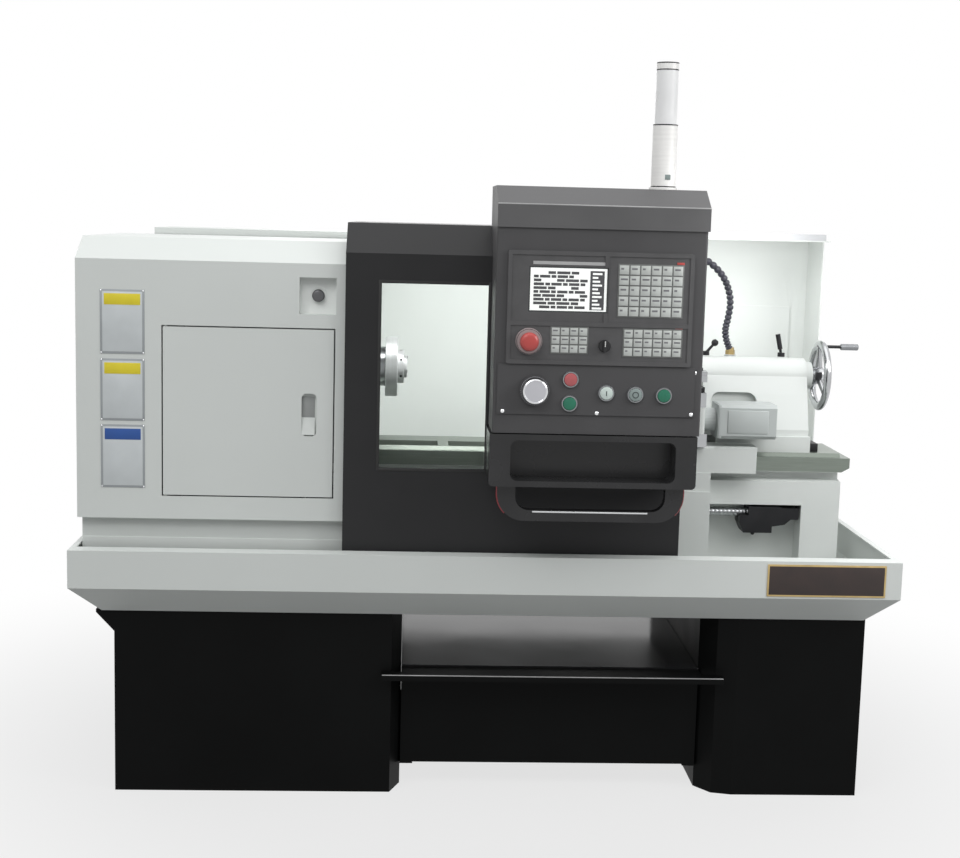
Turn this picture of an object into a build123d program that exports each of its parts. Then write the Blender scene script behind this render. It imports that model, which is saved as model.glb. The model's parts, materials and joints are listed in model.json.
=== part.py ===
from build123d import *
from math import cos, pi, sin
import os

# Frame: the origin is on the floor under the middle of the machine, +X runs from the headstock to the
# tailstock, +Y from the operator to the back, +Z up. All lengths are millimetres.

# Shared clearances
overrun = 6.0
running_gap = 0.3
shaft_gap = 0.05
door_gap = 3.0

# Envelope and the depth steps behind the operator's side
tray_length = 1880.0
tray_depth = 930.0
machine_depth = 1090.0
control_reach = 36.0
pod_depth = 146.0
guard_setback = 52.0
cover_setback = 73.0
plinth_setback = 94.0
pedestal_setback = 73.0
axis_setback = 420.0

# Pedestals
pedestal_height = 429.0
pedestal_depth = 760.0
left_pedestal_inset = 89.0
left_pedestal_width = 656.0
left_corner_width = 23.0
left_corner_depth = 62.0
flare_width = 41.0
flare_height = 51.0
flare_lip = 7.0
right_pedestal_inset = 56.0
right_pedestal_width = 377.0
right_corner_width = 81.0
right_corner_depth = 57.0
right_corner_fold_shares = (0.42, 0.21)
ledge_width = 30.0
ledge_thickness = 4.0

# Coolant tank
tank_lift = 57.0
tank_height = 233.0
tank_depth = 560.0
tank_setback = 120.0
tank_side_gap = 1.0
tank_sheet = 3.0
lip_setback = 45.0
lip_overlap = 46.0
lip_drop = 14.0
lid_margin = 12.0
lid_sheet = 3.0
lid_rib_height = 5.0

# Chip tray
tray_bevel_height = 65.0
tray_bevel_inset = 63.0
tray_rim_height = 86.0
tray_sheet = 4.0
tray_flange = 42.0
tray_left_flange = 12.0
tray_right_flange = 14.0

# Bed
bed_height = 341.0
bed_width = 256.0
bed_right_gap = 70.0
bed_left_inset = 212.0
way_height = 35.0
way_overhang = 20.0
way_nose_height = 24.0
way_left_gap = 20.0
neck_inset = 30.0
neck_height = 16.0
neck_slope = 4.0
ridge_width = 20.0
ridge_height = 9.0
ridge_inset = 14.0
trough_width = 84.0
trough_depth = 250.0
trough_pockets = 6
trough_rib = 26.0
trough_end_margin = 60.0
recess_depth = 60.0
recess_top_drop = 118.0
recess_right_wall = 94.0
recess_left_gap = 20.0
foot_height = 40.0

# Plinth under the headstock cover
plinth_height = 208.0
plinth_end_gap = 15.0
plinth_depth = 786.0
plinth_foot_gap = 5.0
plinth_sheet = 4.0
plinth_bed_gap = 4.0
plinth_groove_drop = 60.0
plinth_groove = 2.0

# Headstock and spindle
centre_height = 190.0
headstock_length = 385.0
headstock_height = 416.0
headstock_width = 260.0
headstock_gap = 5.0
headstock_fillet = 30.0
spindle_radius = 46.0
spindle_tail_radius = 36.0
spindle_tail = 100.0
spindle_bore = 26.0
spindle_nose_radius = 48.5
spindle_nose_reach = 52.0
chuck_disc_radius = 73.5
chuck_sides = 48
chuck_disc_length = 30.0
chuck_nose_radius = 40.5
chuck_nose_length = 16.0
chuck_collet_radius = 27.0
chuck_collet_reach = 7.0
chuck_bore = 20.0
chuck_back_bore = 24.0
nose_hole_gap = 8.0
bar_hole_radius = 38.0

# Main drive
motor_size = 164.0
motor_length = 270.0
motor_axis_height = 108.0
motor_front_gap = 112.0
motor_side_fins = 6
motor_fin_height = 7.0
motor_fin_width = 6.0
motor_edge = 18.0
motor_bell_length = 40.0
motor_foot_height = 14.0
motor_foot_width = 128.0
motor_foot_share = 0.32
motor_box_share = 0.33
motor_box_size = 74.0
motor_shaft_radius = 19.0
motor_shaft_gap = 36.0
pulley_width = 50.0
pulley_headstock_gap = 22.0
motor_pulley_radius = 52.0
pulley_teeth = 40
spindle_pulley_radius = 80.0
belt_thickness = 8.0
belt_side_gap = 5.0

# Headstock cover and its door
cover_end_gap = 8.0
cover_length = 632.0
cover_height = 630.0
cover_depth = 582.0
cover_bevel_height = 48.0
cover_bevel_depth = 84.0
cover_sheet = 3.0
cover_lip = 45.0
door_left_inset = 189.0
door_right_inset = 57.0
door_bottom_inset = 52.0
door_height = 386.0
door_pan = 14.0
pivot_radius = 3.0
pivot_inset = 5.0
pivot_reach = 8.0
pivot_lug = 16.0
pull_width = 34.0
pull_height = 97.0
pull_depth = 11.0
pull_corner_share = 0.33
pull_edge_inset = 57.0
pull_drop = 147.0
door_open_margin = 12.0
pocket_size = 82.0
pocket_depth = 55.0
pocket_right_inset = 56.0
pocket_top_drop = 79.0
shift_radius = 13.5
shift_collar_radius = 20.0
shift_collar = 8.0
shift_reach = 30.0
shift_socket = 40.0

# Electrical cabinet behind the headstock
cabinet_left_inset = 88.0
cabinet_right_gap = 4.0
cabinet_front_gap = 4.0
cabinet_height = 647.0
cabinet_sheet = 3.0
cabinet_door_pan = 20.0
cabinet_frame = 28.0
latch_size = (24.0, 8.0, 110.0)
latch_edge_inset = 40.0
louvre_size = (180.0, 8.0)
louvre_pitch = 22.0
louvres = 6
louvre_margin = 120.0
plate_thickness = 3.0
plate_margin = 40.0
drive_size = (92.0, 90.0, 190.0)
drive_pitch = 104.0
drives = 4
terminal_height = 46.0
terminal_depth = 40.0

# Rear splash guard
rear_height = 716.0
rear_sheet = 3.0
rear_right_inset = 20.0
rear_back_inset = 32.0
rear_return = 153.0
rear_hood = 218.0
rear_hood_sheet = 3.0
hatch_size = (310.0, 400.0)
hatch_rise = 5.0
hatch_right_inset = 48.0
hatch_lift = 130.0

# Rails of the sliding guard
rail_width = 12.0
rail_height = 20.0
rail_inset = 10.0
rail_drop = 11.0
rail_right_gap = 25.0
rail_arms = 5
rail_arm_width = 30.0
rail_arm_height = 6.0
top_rail_inset = 4.0
top_rail_end_gap = 12.0
glide_length = 60.0
glide_cheek = 8.0
glide_wrap = 13.0
glide_end_inset = 60.0

# Sliding guard
guard_overlap = 35.0
guard_width = 768.0
guard_drop = 9.0
guard_height = 745.0
guard_bevel_height = 66.0
guard_bevel_depth = 84.0
guard_roof_margin = 6.0
guard_sheet = 3.0
guard_return = 14.0
window_left_inset = 77.0
window_width = 244.0
window_height = 421.0
window_lift = 196.0
window_frame = 24.0
pane_thickness = 5.0

# Control pod on the guard
pod_width = 452.0
pod_overhang = 9.0
pod_lift = 304.0
pod_height = 441.0
pod_edge = 5.0
visor_height = 88.0
visor_face = 49.0
visor_slope_depth = 64.0
visor_overhang = 4.0
visor_edge = 3.0
unit_left_inset = 25.0
unit_width = 399.0
unit_height = 242.0
unit_lift = 151.0
unit_thickness = 7.0
unit_corner = 5.0
unit_border = 9.0
unit_field_depth = 2.0
unit_split_shares = (0.53, 0.36)
screen_size = (170.0, 97.0)
screen_offset = (45.0, 112.0)
screen_recess = 3.0
screen_thickness = 2.0
upper_keys_size = (142.0, 114.0)
upper_keys_offset = (235.0, 104.0)
upper_key_columns = 6
upper_key_rows = 5
left_keys_size = (82.0, 59.0)
left_keys_offset = (94.0, 23.0)
left_key_columns = 4
left_key_rows = 3
right_keys_size = (129.0, 62.0)
right_keys_offset = (250.0, 19.0)
right_key_columns = 6
right_key_rows = 3
key_film = 1.0
key_rise = 0.8
key_gap = 3.0
plate_left_inset = 8.0
plate_width = 428.0
plate_height = 108.0
plate_lift = 42.0
switch_plate_thickness = 3.0

# Controls, each placed by its offset from the pod's lower left corner
estop_offset = (73.0, 200.0)
estop_radius = 20.0
estop_ring_radius = 27.0
estop_neck_radius = 13.0
estop_head = 13.0
estop_dome_shares = ((0, 0.6), (0.25, 0.9), (0.6, 1), (1, 1))
estop_travel = 4.0
selector_offset = (236.0, 193.0)
selector_radius = 13.0
selector_reach = 17.0
selector_bar_width = 8.0
selector_bar_share = 0.95
dial_offset = (89.0, 94.0)
dial_radius = 30.0
dial_ring_radius = 33.0
dial_height = 22.0
button_offsets = ((166.0, 119.0), (165.0, 67.0), (244.0, 91.0), (307.0, 89.0), (369.0, 88.0))
button_names = ("stop_button", "start_button", "power_button", "hold_button", "cycle_button")
button_radius = 14.0
button_ring_radius = 17.0
button_ring_height = 5.0
button_reach = 3.0
button_travel = 3.0
control_sides = 24

# Pull box and handle under the pod
box_height = 115.0
box_gap = 2.0
box_side = 5.0
box_corner = 10.0
box_recess_inset = (46.0, 13.0)
box_recess_corner = 16.0
box_recess_depth = 75.0
handle_inset = 21.0
handle_arm = 40.0
handle_drop = 68.0
handle_thickness = 24.0
handle_setback = 34.0
handle_bar = 24.0
handle_corner = 60.0

# Stack light
lamp_right_inset = 84.0
lamp_setback = 114.0
lamp_base_radius = 27.0
lamp_base_height = 140.0
lamp_foot_radius = 31.0
lamp_foot_height = 6.0
lamp_lens_radius = 24.0
lamp_lens_height = 118.0
lamp_cap_height = 16.0

# Carriage
saddle_right_gap = 220.0
saddle_length = 405.0
saddle_wing = 68.0
saddle_height = 30.0
saddle_front_reach = 42.0
saddle_bridge_inset = 115.0
saddle_edge = 4.0
slide_width = 150.0
slide_height = 32.0
slide_front_inset = 20.0
slide_length = 330.0
dovetail_height = 16.0
dovetail_top = 96.0
dovetail_bottom = 78.0
apron_inset = 55.0
apron_length = 240.0
apron_thickness = 51.0
apron_drop = 242.0
apron_step = 45.0
apron_step_depth = 6.0
nut_block = (90.0, 40.0)
servo_size = 96.0
servo_length = 120.0
servo_flange = 12.0
servo_edge = 8.0

# Ballscrew of the carriage
screw_radius = 11.0
screw_setback = 26.0
screw_drop = 140.0
bracket_reach = 22.0
bracket_right_gap = 4.0
bracket_offsets = (
    (-146.0, -6.0),
    (-124.0, -6.0),
    (-124.0, 16.0),
    (-44.0, 16.0),
    (-44.0, 13.0),
    (0.0, 13.0),
    (0.0, -15.0),
    (-19.0, -15.0),
    (-34.0, -28.0),
    (-65.0, -33.0),
    (-65.0, -49.0),
    (-135.0, -49.0),
    (-146.0, -25.0),
)

# Turret
turret_base_size = (140.0, 140.0, 64.0)
turret_head_size = 140.0
turret_head_height = 85.0
turret_slot_height = 26.0
turret_slot_depth = 22.0
turret_slot_lift = 34.0
turret_cap_radius = 34.0
turret_cap_height = 10.0
turret_motor_size = (138.0, 86.0, 83.0)
turret_motor_edge = 8.0
turret_motor_neck = 34.0
turret_motor_neck_radius = 28.0
turret_motor_drop = 75.0

# Coolant riser on the saddle and the jointed hose above it
riser_radius = 11.0
riser_height = 196.0
riser_foot = 44.0
riser_foot_height = 12.0
riser_foot_share = 0.8
riser_valve = 30.0
riser_inset = (9.0, 20.0)
hose_radius = 9.0
hose_sides = 10
hose_offsets = (
    (0.0, 0.0, 0.0),
    (0.0, 0.0, 12.0),
    (-11.0, -5.0, 30.0),
    (-19.0, -10.0, 62.0),
    (-15.0, -25.0, 92.0),
    (-12.0, -40.0, 135.0),
    (-24.0, -55.0, 176.0),
    (-46.0, -70.0, 211.0),
    (-90.0, -90.0, 246.0),
    (-136.0, -110.0, 254.0),
    (-170.0, -130.0, 222.0),
    (-186.0, -145.0, 168.0),
    (-192.0, -152.0, 112.0),
)
nozzle_radius = 11.0
nozzle_tip_radius = 4.0
nozzle_length = 45.0
nozzle_collar_share = 0.33

# Tailstock
tailstock_right_gap = 75.0
tailstock_length = 260.0
tailstock_base_inset = 29.0
tailstock_base_height = 46.0
tailstock_base_width = 186.0
tailstock_base_margin = 4.0
tailstock_neck_width = 116.0
barrel_radius = 43.0
arch_width = 115.0
arch_height = 90.0
arch_corner = 24.0
arch_depth = 14.0
arch_lift = 14.0
arch_left_inset = 18.0
stop_size = (36.0, 60.0, 20.0)
tailstock_edge = 8.0
quill_radius = 28.0
quill_reach = 7.0
centre_radius = 14.0
centre_reach = 60.0
centre_shank = 50.0
centre_shares = ((0, 0.08), (0.5, 1), (1, 1))
lever_sides = 16
collar_radius = 33.0
collar_length = 18.0
stud_radius = 9.0
wheel_radius = 87.5
wheel_sides = 40
wheel_rim = 22.0
wheel_rim_depth = 18.0
wheel_hub_radius = 22.0
wheel_hub_length = 34.0
wheel_spokes = 3
spoke_width = 17.0
spoke_thickness = 11.0
crank_share = 0.83
crank_pin_radius = 4.0
crank_radius = 8.0
crank_reach = 40.0
crank_length = 44.0
lever_hub_radius = 9.0
lever_hub_length = 10.0
lever_pin_radius = 4.0
lever_pin_reach = 9.0
lever_boss = 2.0
lever_radius = 3.5
lever_grip_radius = 6.0
lock_right_inset = 57.0
lock_length = 52.0
lock_grip = 38.0
lock_tilt = -12.0
clamp_left_inset = 13.0
clamp_length = 34.0
clamp_tilt = 40.0
ball_radius = 9.0
ball_shares = ((-0.87, 0.5), (-0.5, 0.87), (0, 1), (0.5, 0.87), (0.87, 0.5))

# Planes across the depth
front_y = -machine_depth / 2
back_y = machine_depth / 2
pod_face_y = front_y + control_reach
guard_front_y = pod_face_y + pod_depth
tray_front_y = guard_front_y - guard_setback
tray_back_y = tray_front_y + tray_depth
cover_front_y = tray_front_y + cover_setback
cover_back_y = cover_front_y + cover_depth
plinth_front_y = tray_front_y + plinth_setback
plinth_back_y = plinth_front_y + plinth_depth
pedestal_front_y = tray_front_y + pedestal_setback
pedestal_back_y = pedestal_front_y + pedestal_depth
axis_y = tray_front_y + axis_setback
bed_front_y = axis_y - bed_width / 2
bed_back_y = axis_y + bed_width / 2

# Levels above the floor
tray_floor_z = pedestal_height + tray_sheet
rim_bottom_z = pedestal_height + tray_bevel_height
rim_top_z = rim_bottom_z + tray_rim_height
bed_top_z = tray_floor_z + bed_height
axis_z = bed_top_z + centre_height
plinth_top_z = tray_floor_z + plinth_height
cover_top_z = plinth_top_z + cover_height
guard_bottom_z = rim_top_z - guard_drop
guard_top_z = guard_bottom_z + guard_height
pod_bottom_z = guard_bottom_z + pod_lift
pod_top_z = pod_bottom_z + pod_height
visor_top_z = pod_top_z + visor_height

# Stations along the length
tray_left_x = -tray_length / 2
tray_right_x = tray_length / 2
left_outer_x = tray_left_x + left_pedestal_inset
left_inner_x = left_outer_x + left_pedestal_width
right_outer_x = tray_right_x - right_pedestal_inset
right_inner_x = right_outer_x - right_pedestal_width
cover_left_x = tray_left_x + cover_end_gap
cover_right_x = cover_left_x + cover_length
bed_left_x = cover_left_x + bed_left_inset
bed_right_x = tray_right_x - bed_right_gap
plinth_left_x = tray_left_x + plinth_end_gap
guard_left_x = cover_right_x - guard_overlap
guard_right_x = guard_left_x + guard_width
pod_right_x = guard_right_x + pod_overhang
pod_left_x = pod_right_x - pod_width

os.makedirs("parts", exist_ok=True)


def span_box(x, y, z, mode=Mode.ADD):
    """A box between two values on each axis."""
    middle = ((x[0] + x[1]) / 2, (y[0] + y[1]) / 2, (z[0] + z[1]) / 2)
    with Locations(middle):
        Box(x[1] - x[0], y[1] - y[0], z[1] - z[0], mode=mode)


def rod(start, direction, radius, length, mode=Mode.ADD):
    """A round bar that leaves a point in a direction."""
    with Locations(Plane(origin=start, z_dir=direction)):
        Cylinder(radius, length, align=(Align.CENTER, Align.CENTER, Align.MIN), mode=mode)


def front_plane(y):
    """A plane that faces the operator, with X to the right and Z up."""
    return Plane(origin=(0, y, 0), x_dir=(1, 0, 0), z_dir=(0, -1, 0))


def side_section(points, x, length, mode=Mode.ADD):
    """A closed outline of (y, z) points at one station, run along X."""
    with BuildSketch(Plane.YZ.offset(x)) as section:
        with BuildLine():
            Polyline(*points, close=True)
        make_face()
    extrude(section.sketch, amount=length, mode=mode)


def turned(start, direction, profile, mode=Mode.ADD):
    """A turned form: (distance along the axis, radius) points, spun about the axis."""
    axis_plane = Plane(origin=start, z_dir=direction)
    half_plane = Plane(origin=start, x_dir=axis_plane.x_dir, z_dir=-axis_plane.y_dir)
    with BuildSketch(half_plane) as section:
        with BuildLine():
            Polyline(*[(radius, along) for along, radius in profile], close=True)
        make_face()
    revolve(section.sketch, axis=Axis(start, direction), mode=mode)


def faceted(start, direction, profile, sides):
    """A many-sided form for small round pieces: (distance along the axis, radius) points from end to end."""
    plane = Plane(origin=start, z_dir=direction)
    angles = [2 * pi * number / sides for number in range(sides)]
    rings = []
    for along, radius in profile:
        corners = [(radius * cos(angle), radius * sin(angle), along) for angle in angles]
        rings.append([plane.from_local_coords(corner) for corner in corners])
    flats = [Face(Wire.make_polygon(rings[0])), Face(Wire.make_polygon(rings[-1]))]
    for low, high in zip(rings, rings[1:]):
        for number in range(sides):
            after = (number + 1) % sides
            flats.append(Face(Wire.make_polygon((low[number], low[after], high[after], high[number]))))
    add(Solid(Shell(flats)))


def finish(piece, label):
    """Names a finished piece and writes it."""
    piece.part.label = label
    export_step(piece.part, f"parts/{label}.step")


# Left pedestal: folded cabinet with a cut-back inner corner, a flare under the tray and a ledge for the tank
with BuildPart() as left_pedestal:
    with BuildSketch(Plane.XY):
        with BuildLine():
            Polyline(
                (left_outer_x, pedestal_front_y),
                (left_inner_x - left_corner_width, pedestal_front_y),
                (left_inner_x, pedestal_front_y + left_corner_depth),
                (left_inner_x, pedestal_back_y),
                (left_outer_x, pedestal_back_y),
                close=True,
            )
        make_face()
    extrude(amount=pedestal_height)
    with BuildSketch(front_plane(pedestal_back_y)):
        with BuildLine():
            Polyline(
                (left_outer_x, pedestal_height),
                (left_outer_x - flare_width, pedestal_height),
                (left_outer_x - flare_width, pedestal_height - flare_lip),
                (left_outer_x, pedestal_height - flare_height),
                close=True,
            )
        make_face()
    extrude(amount=pedestal_depth)
    span_box(
        (left_inner_x, left_inner_x + ledge_width),
        (tray_front_y + tank_setback, tray_front_y + tank_setback + tank_depth),
        (tank_lift - ledge_thickness, tank_lift),
    )
finish(left_pedestal, "left_pedestal")

# Right pedestal: its inner corner is folded twice
with BuildPart() as right_pedestal:
    with BuildSketch(Plane.XY):
        with BuildLine():
            Polyline(
                (right_outer_x, pedestal_front_y),
                (right_outer_x, pedestal_back_y),
                (right_inner_x, pedestal_back_y),
                (right_inner_x, pedestal_front_y + right_corner_depth),
                (
                    right_inner_x + right_corner_width * right_corner_fold_shares[0],
                    pedestal_front_y + right_corner_depth * right_corner_fold_shares[1],
                ),
                (right_inner_x + right_corner_width, pedestal_front_y),
                close=True,
            )
        make_face()
    extrude(amount=pedestal_height)
    span_box(
        (right_inner_x - ledge_width, right_inner_x),
        (tray_front_y + tank_setback, tray_front_y + tank_setback + tank_depth),
        (tank_lift - ledge_thickness, tank_lift),
    )
finish(right_pedestal, "right_pedestal")

# Coolant tank: open box on the ledges, with a lip that laps the front of both pedestals
tank_x = (left_inner_x + tank_side_gap, right_inner_x - tank_side_gap)
tank_y = (tray_front_y + tank_setback, tray_front_y + tank_setback + tank_depth)
tank_z = (tank_lift, tank_lift + tank_height)
lip_x = (tank_x[0] - lip_overlap - tank_side_gap, tank_x[1] + lip_overlap + tank_side_gap)
lip_y = tray_front_y + lip_setback
with BuildPart() as coolant_tank:
    span_box(tank_x, tank_y, tank_z)
    span_box(
        (tank_x[0] + tank_sheet, tank_x[1] - tank_sheet),
        (tank_y[0] + tank_sheet, tank_y[1] - tank_sheet),
        (tank_z[0] + tank_sheet, tank_z[1] + overrun),
        mode=Mode.SUBTRACT,
    )
    span_box(lip_x, (lip_y, pedestal_front_y - running_gap), (tank_z[1] - tank_sheet, tank_z[1]))
    span_box(
        (tank_x[0], tank_x[1] - tank_side_gap),
        (lip_y, tank_y[0] + tank_sheet),
        (tank_z[1] - tank_sheet, tank_z[1]),
    )
    span_box(lip_x, (lip_y, lip_y + tank_sheet), (tank_z[1] - lip_drop, tank_z[1]))
finish(coolant_tank, "coolant_tank")

# Tank lid: flat sheet with a folded edge inside the tank's front
lid_x = (tank_x[0] + tank_sheet + running_gap, tank_x[1] - tank_sheet - running_gap)
with BuildPart() as tank_lid:
    span_box(tank_x, tank_y, (tank_z[1], tank_z[1] + lid_sheet))
    span_box(
        lid_x,
        (tank_y[0] + tank_sheet + running_gap, tank_y[0] + lid_margin),
        (tank_z[1] - lid_rib_height, tank_z[1]),
    )
finish(tank_lid, "tank_lid")

# Chip tray: pan with an upright rim, a bevelled underside and an inward flange round the top
with BuildPart() as chip_tray:
    tray_middle = (0, (tray_front_y + tray_back_y) / 2)
    low_length = tray_length - 2 * tray_bevel_inset
    low_depth = tray_depth - 2 * tray_bevel_inset
    with BuildSketch(Plane.XY.offset(pedestal_height)):
        with Locations(tray_middle):
            Rectangle(low_length, low_depth)
    with BuildSketch(Plane.XY.offset(rim_bottom_z)):
        with Locations(tray_middle):
            Rectangle(tray_length, tray_depth)
    loft()
    with BuildSketch(Plane.XY.offset(rim_bottom_z)):
        with Locations(tray_middle):
            Rectangle(tray_length, tray_depth)
    extrude(amount=tray_rim_height)
    with BuildSketch(Plane.XY.offset(tray_floor_z)):
        with Locations(tray_middle):
            Rectangle(low_length - 2 * tray_sheet, low_depth - 2 * tray_sheet)
    with BuildSketch(Plane.XY.offset(rim_bottom_z + tray_sheet)):
        with Locations(tray_middle):
            Rectangle(tray_length - 2 * tray_sheet, tray_depth - 2 * tray_sheet)
    loft(mode=Mode.SUBTRACT)
    with BuildSketch(Plane.XY.offset(rim_bottom_z + tray_sheet)):
        with Locations(tray_middle):
            Rectangle(tray_length - 2 * tray_sheet, tray_depth - 2 * tray_sheet)
    extrude(amount=tray_rim_height - 2 * tray_sheet, mode=Mode.SUBTRACT)
    with BuildSketch(Plane.XY.offset(rim_top_z + overrun)):
        with Locations(((tray_left_flange - tray_right_flange) / 2, tray_middle[1])):
            Rectangle(tray_length - tray_left_flange - tray_right_flange, tray_depth - 2 * tray_flange)
    extrude(amount=-tray_sheet - 2 * overrun, mode=Mode.SUBTRACT)
finish(chip_tray, "chip_tray")

# Bed: casting with a V and a flat guideway, a chip trough between them and a recess for the ballscrew
recess_right_x = bed_right_x - recess_right_wall
recess_top_z = bed_top_z - recess_top_drop
way_left_x = cover_right_x + way_left_gap
screw_y = bed_front_y + screw_setback
screw_z = bed_top_z - screw_drop
servo_pocket_x = (cover_right_x - servo_length - servo_flange, cover_right_x + recess_left_gap)
neck_top_z = bed_top_z - way_height
with BuildPart() as bed:
    half_section = (
        (bed_width / 2, bed_top_z - way_height - neck_height - 2 * neck_slope),
        (bed_width / 2 - neck_inset, neck_top_z - neck_slope - neck_height),
        (bed_width / 2 - neck_inset, neck_top_z - neck_slope),
        (bed_width / 2, neck_top_z),
        (bed_width / 2, bed_top_z),
    )
    right_half = [(axis_y + across, level) for across, level in half_section]
    left_half = [(axis_y - across, level) for across, level in reversed(half_section)]
    foot = [(bed_front_y, tray_floor_z), (bed_back_y, tray_floor_z)]
    side_section(foot + right_half + left_half, bed_left_x, bed_right_x - bed_left_x)
    with BuildSketch(front_plane(bed_back_y)):
        with BuildLine():
            Polyline(
                (bed_right_x, neck_top_z),
                (bed_right_x + way_overhang, bed_top_z - way_nose_height),
                (bed_right_x + way_overhang, bed_top_z),
                (bed_right_x, bed_top_z),
                close=True,
            )
        make_face()
    extrude(amount=bed_width)
    ridge_y = bed_front_y + ridge_inset
    side_section(
        (
            (ridge_y, bed_top_z),
            (ridge_y + ridge_width / 2, bed_top_z + ridge_height),
            (ridge_y + ridge_width, bed_top_z),
        ),
        way_left_x,
        bed_right_x - way_left_x,
    )
    pocket_run = bed_right_x - trough_end_margin - cover_right_x
    pocket_pitch = pocket_run / trough_pockets
    for number in range(trough_pockets):
        pocket_x = cover_right_x + number * pocket_pitch
        span_box(
            (pocket_x + trough_rib, pocket_x + pocket_pitch),
            (axis_y - trough_width / 2, axis_y + trough_width / 2),
            (bed_top_z - trough_depth, bed_top_z + overrun),
            mode=Mode.SUBTRACT,
        )
    span_box(
        (servo_pocket_x[0] - recess_left_gap, recess_right_x),
        (bed_front_y - overrun, bed_front_y + recess_depth),
        (tray_floor_z + foot_height, recess_top_z),
        mode=Mode.SUBTRACT,
    )
    span_box(
        (servo_pocket_x[0] - recess_left_gap, servo_pocket_x[1]),
        (bed_front_y - overrun, screw_y + servo_size / 2 + overrun),
        (tray_floor_z + foot_height, screw_z + servo_size / 2 + overrun),
        mode=Mode.SUBTRACT,
    )
finish(bed, "bed")

# Plinth: folded skirt round the bed's left end that carries the cover, the motor and the cabinet
plinth_step_z = rim_bottom_z + tray_sheet + plinth_foot_gap
foot_left_x = tray_left_x + tray_bevel_inset + tray_sheet + plinth_foot_gap
foot_back_y = tray_back_y - tray_bevel_inset - tray_sheet - plinth_foot_gap
opening_front_y = screw_y - servo_size / 2 - plinth_bed_gap
with BuildPart() as headstock_plinth:
    span_box((plinth_left_x, cover_right_x), (plinth_front_y, plinth_back_y), (plinth_step_z, plinth_top_z))
    span_box((foot_left_x, cover_right_x), (plinth_front_y, foot_back_y), (tray_floor_z, plinth_top_z))
    span_box(
        (plinth_left_x + plinth_sheet, cover_right_x - plinth_sheet),
        (plinth_front_y + plinth_sheet, plinth_back_y - plinth_sheet),
        (plinth_step_z + plinth_sheet, plinth_top_z - plinth_sheet),
        mode=Mode.SUBTRACT,
    )
    span_box(
        (foot_left_x + plinth_sheet, cover_right_x - plinth_sheet),
        (plinth_front_y + plinth_sheet, foot_back_y - plinth_sheet),
        (tray_floor_z - overrun, plinth_top_z - plinth_sheet),
        mode=Mode.SUBTRACT,
    )
    span_box(
        (bed_left_x - plinth_bed_gap, cover_right_x + overrun),
        (opening_front_y, bed_back_y + plinth_bed_gap),
        (tray_floor_z - overrun, plinth_top_z + overrun),
        mode=Mode.SUBTRACT,
    )
    groove_z = plinth_top_z - plinth_groove_drop
    span_box(
        (plinth_left_x - overrun, cover_right_x + overrun),
        (plinth_front_y - overrun, plinth_front_y + plinth_groove),
        (groove_z - plinth_groove, groove_z),
        mode=Mode.SUBTRACT,
    )
finish(headstock_plinth, "headstock_plinth")

# Headstock casting: gear-case form on the bed, bored for the spindle, with a socket for the shift shaft
headstock_x = (bed_left_x + headstock_gap, bed_left_x + headstock_gap + headstock_length)
headstock_top_z = bed_top_z + headstock_height
headstock_front_y = axis_y - headstock_width / 2
pocket_x = cover_right_x - pocket_right_inset - pocket_size / 2
shift_z = cover_top_z - pocket_top_drop - pocket_size / 2
pocket_back_y = cover_front_y + pocket_depth
shift_x = pocket_x
with BuildPart() as headstock:
    span_box(
        headstock_x,
        (headstock_front_y, axis_y + headstock_width / 2),
        (bed_top_z, headstock_top_z),
    )
    fillet(headstock.edges().filter_by(Axis.X).group_by(Axis.Z)[-1], headstock_fillet)
    rod((headstock_x[0] - overrun, axis_y, axis_z), (1, 0, 0), spindle_radius + shaft_gap,
        headstock_length + 2 * overrun, mode=Mode.SUBTRACT)
    rod((shift_x, headstock_front_y - overrun, shift_z), (0, 1, 0), shift_radius + shaft_gap,
        shift_socket + overrun, mode=Mode.SUBTRACT)
finish(headstock, "headstock")

# Spindle: hollow shaft with the driven pulley on its tail and a nose for the chuck
pulley_x = (headstock_x[0] - pulley_headstock_gap - pulley_width, headstock_x[0] - pulley_headstock_gap)
nose_end_x = cover_right_x + spindle_nose_reach
spindle_tail_x = headstock_x[0] - spindle_tail
nose_start_x = headstock_x[1] + headstock_gap
with BuildPart() as spindle:
    turned(
        (spindle_tail_x, axis_y, axis_z),
        (1, 0, 0),
        (
            (0, spindle_bore),
            (0, spindle_tail_radius),
            (spindle_tail - headstock_gap, spindle_tail_radius),
            (spindle_tail - headstock_gap, spindle_radius),
            (nose_start_x - spindle_tail_x, spindle_radius),
            (nose_start_x - spindle_tail_x, spindle_nose_radius),
            (nose_end_x - spindle_tail_x, spindle_nose_radius),
            (nose_end_x - spindle_tail_x, spindle_bore),
        ),
    )
    turned(
        (pulley_x[0], axis_y, axis_z),
        (1, 0, 0),
        (
            (0, spindle_bore),
            (0, spindle_pulley_radius),
            (pulley_width, spindle_pulley_radius),
            (pulley_width, spindle_bore),
        ),
    )
finish(spindle, "spindle")

# Collet chuck: disc and nose cap on the spindle, with the collet showing in its mouth
chuck_length = chuck_disc_length + chuck_nose_length + chuck_collet_reach
with BuildPart() as collet_chuck:
    chuck_start = (nose_end_x, axis_y, axis_z)
    for run, radius in (
        (chuck_disc_length, chuck_disc_radius),
        (chuck_disc_length + chuck_nose_length, chuck_nose_radius),
        (chuck_length, chuck_collet_radius),
    ):
        faceted(chuck_start, (1, 0, 0), ((0, radius), (run, radius)), chuck_sides)
    rod(chuck_start, (1, 0, 0), chuck_bore, chuck_length, mode=Mode.SUBTRACT)
    rod(chuck_start, (1, 0, 0), chuck_back_bore, chuck_disc_length, mode=Mode.SUBTRACT)
finish(collet_chuck, "collet_chuck")

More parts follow.
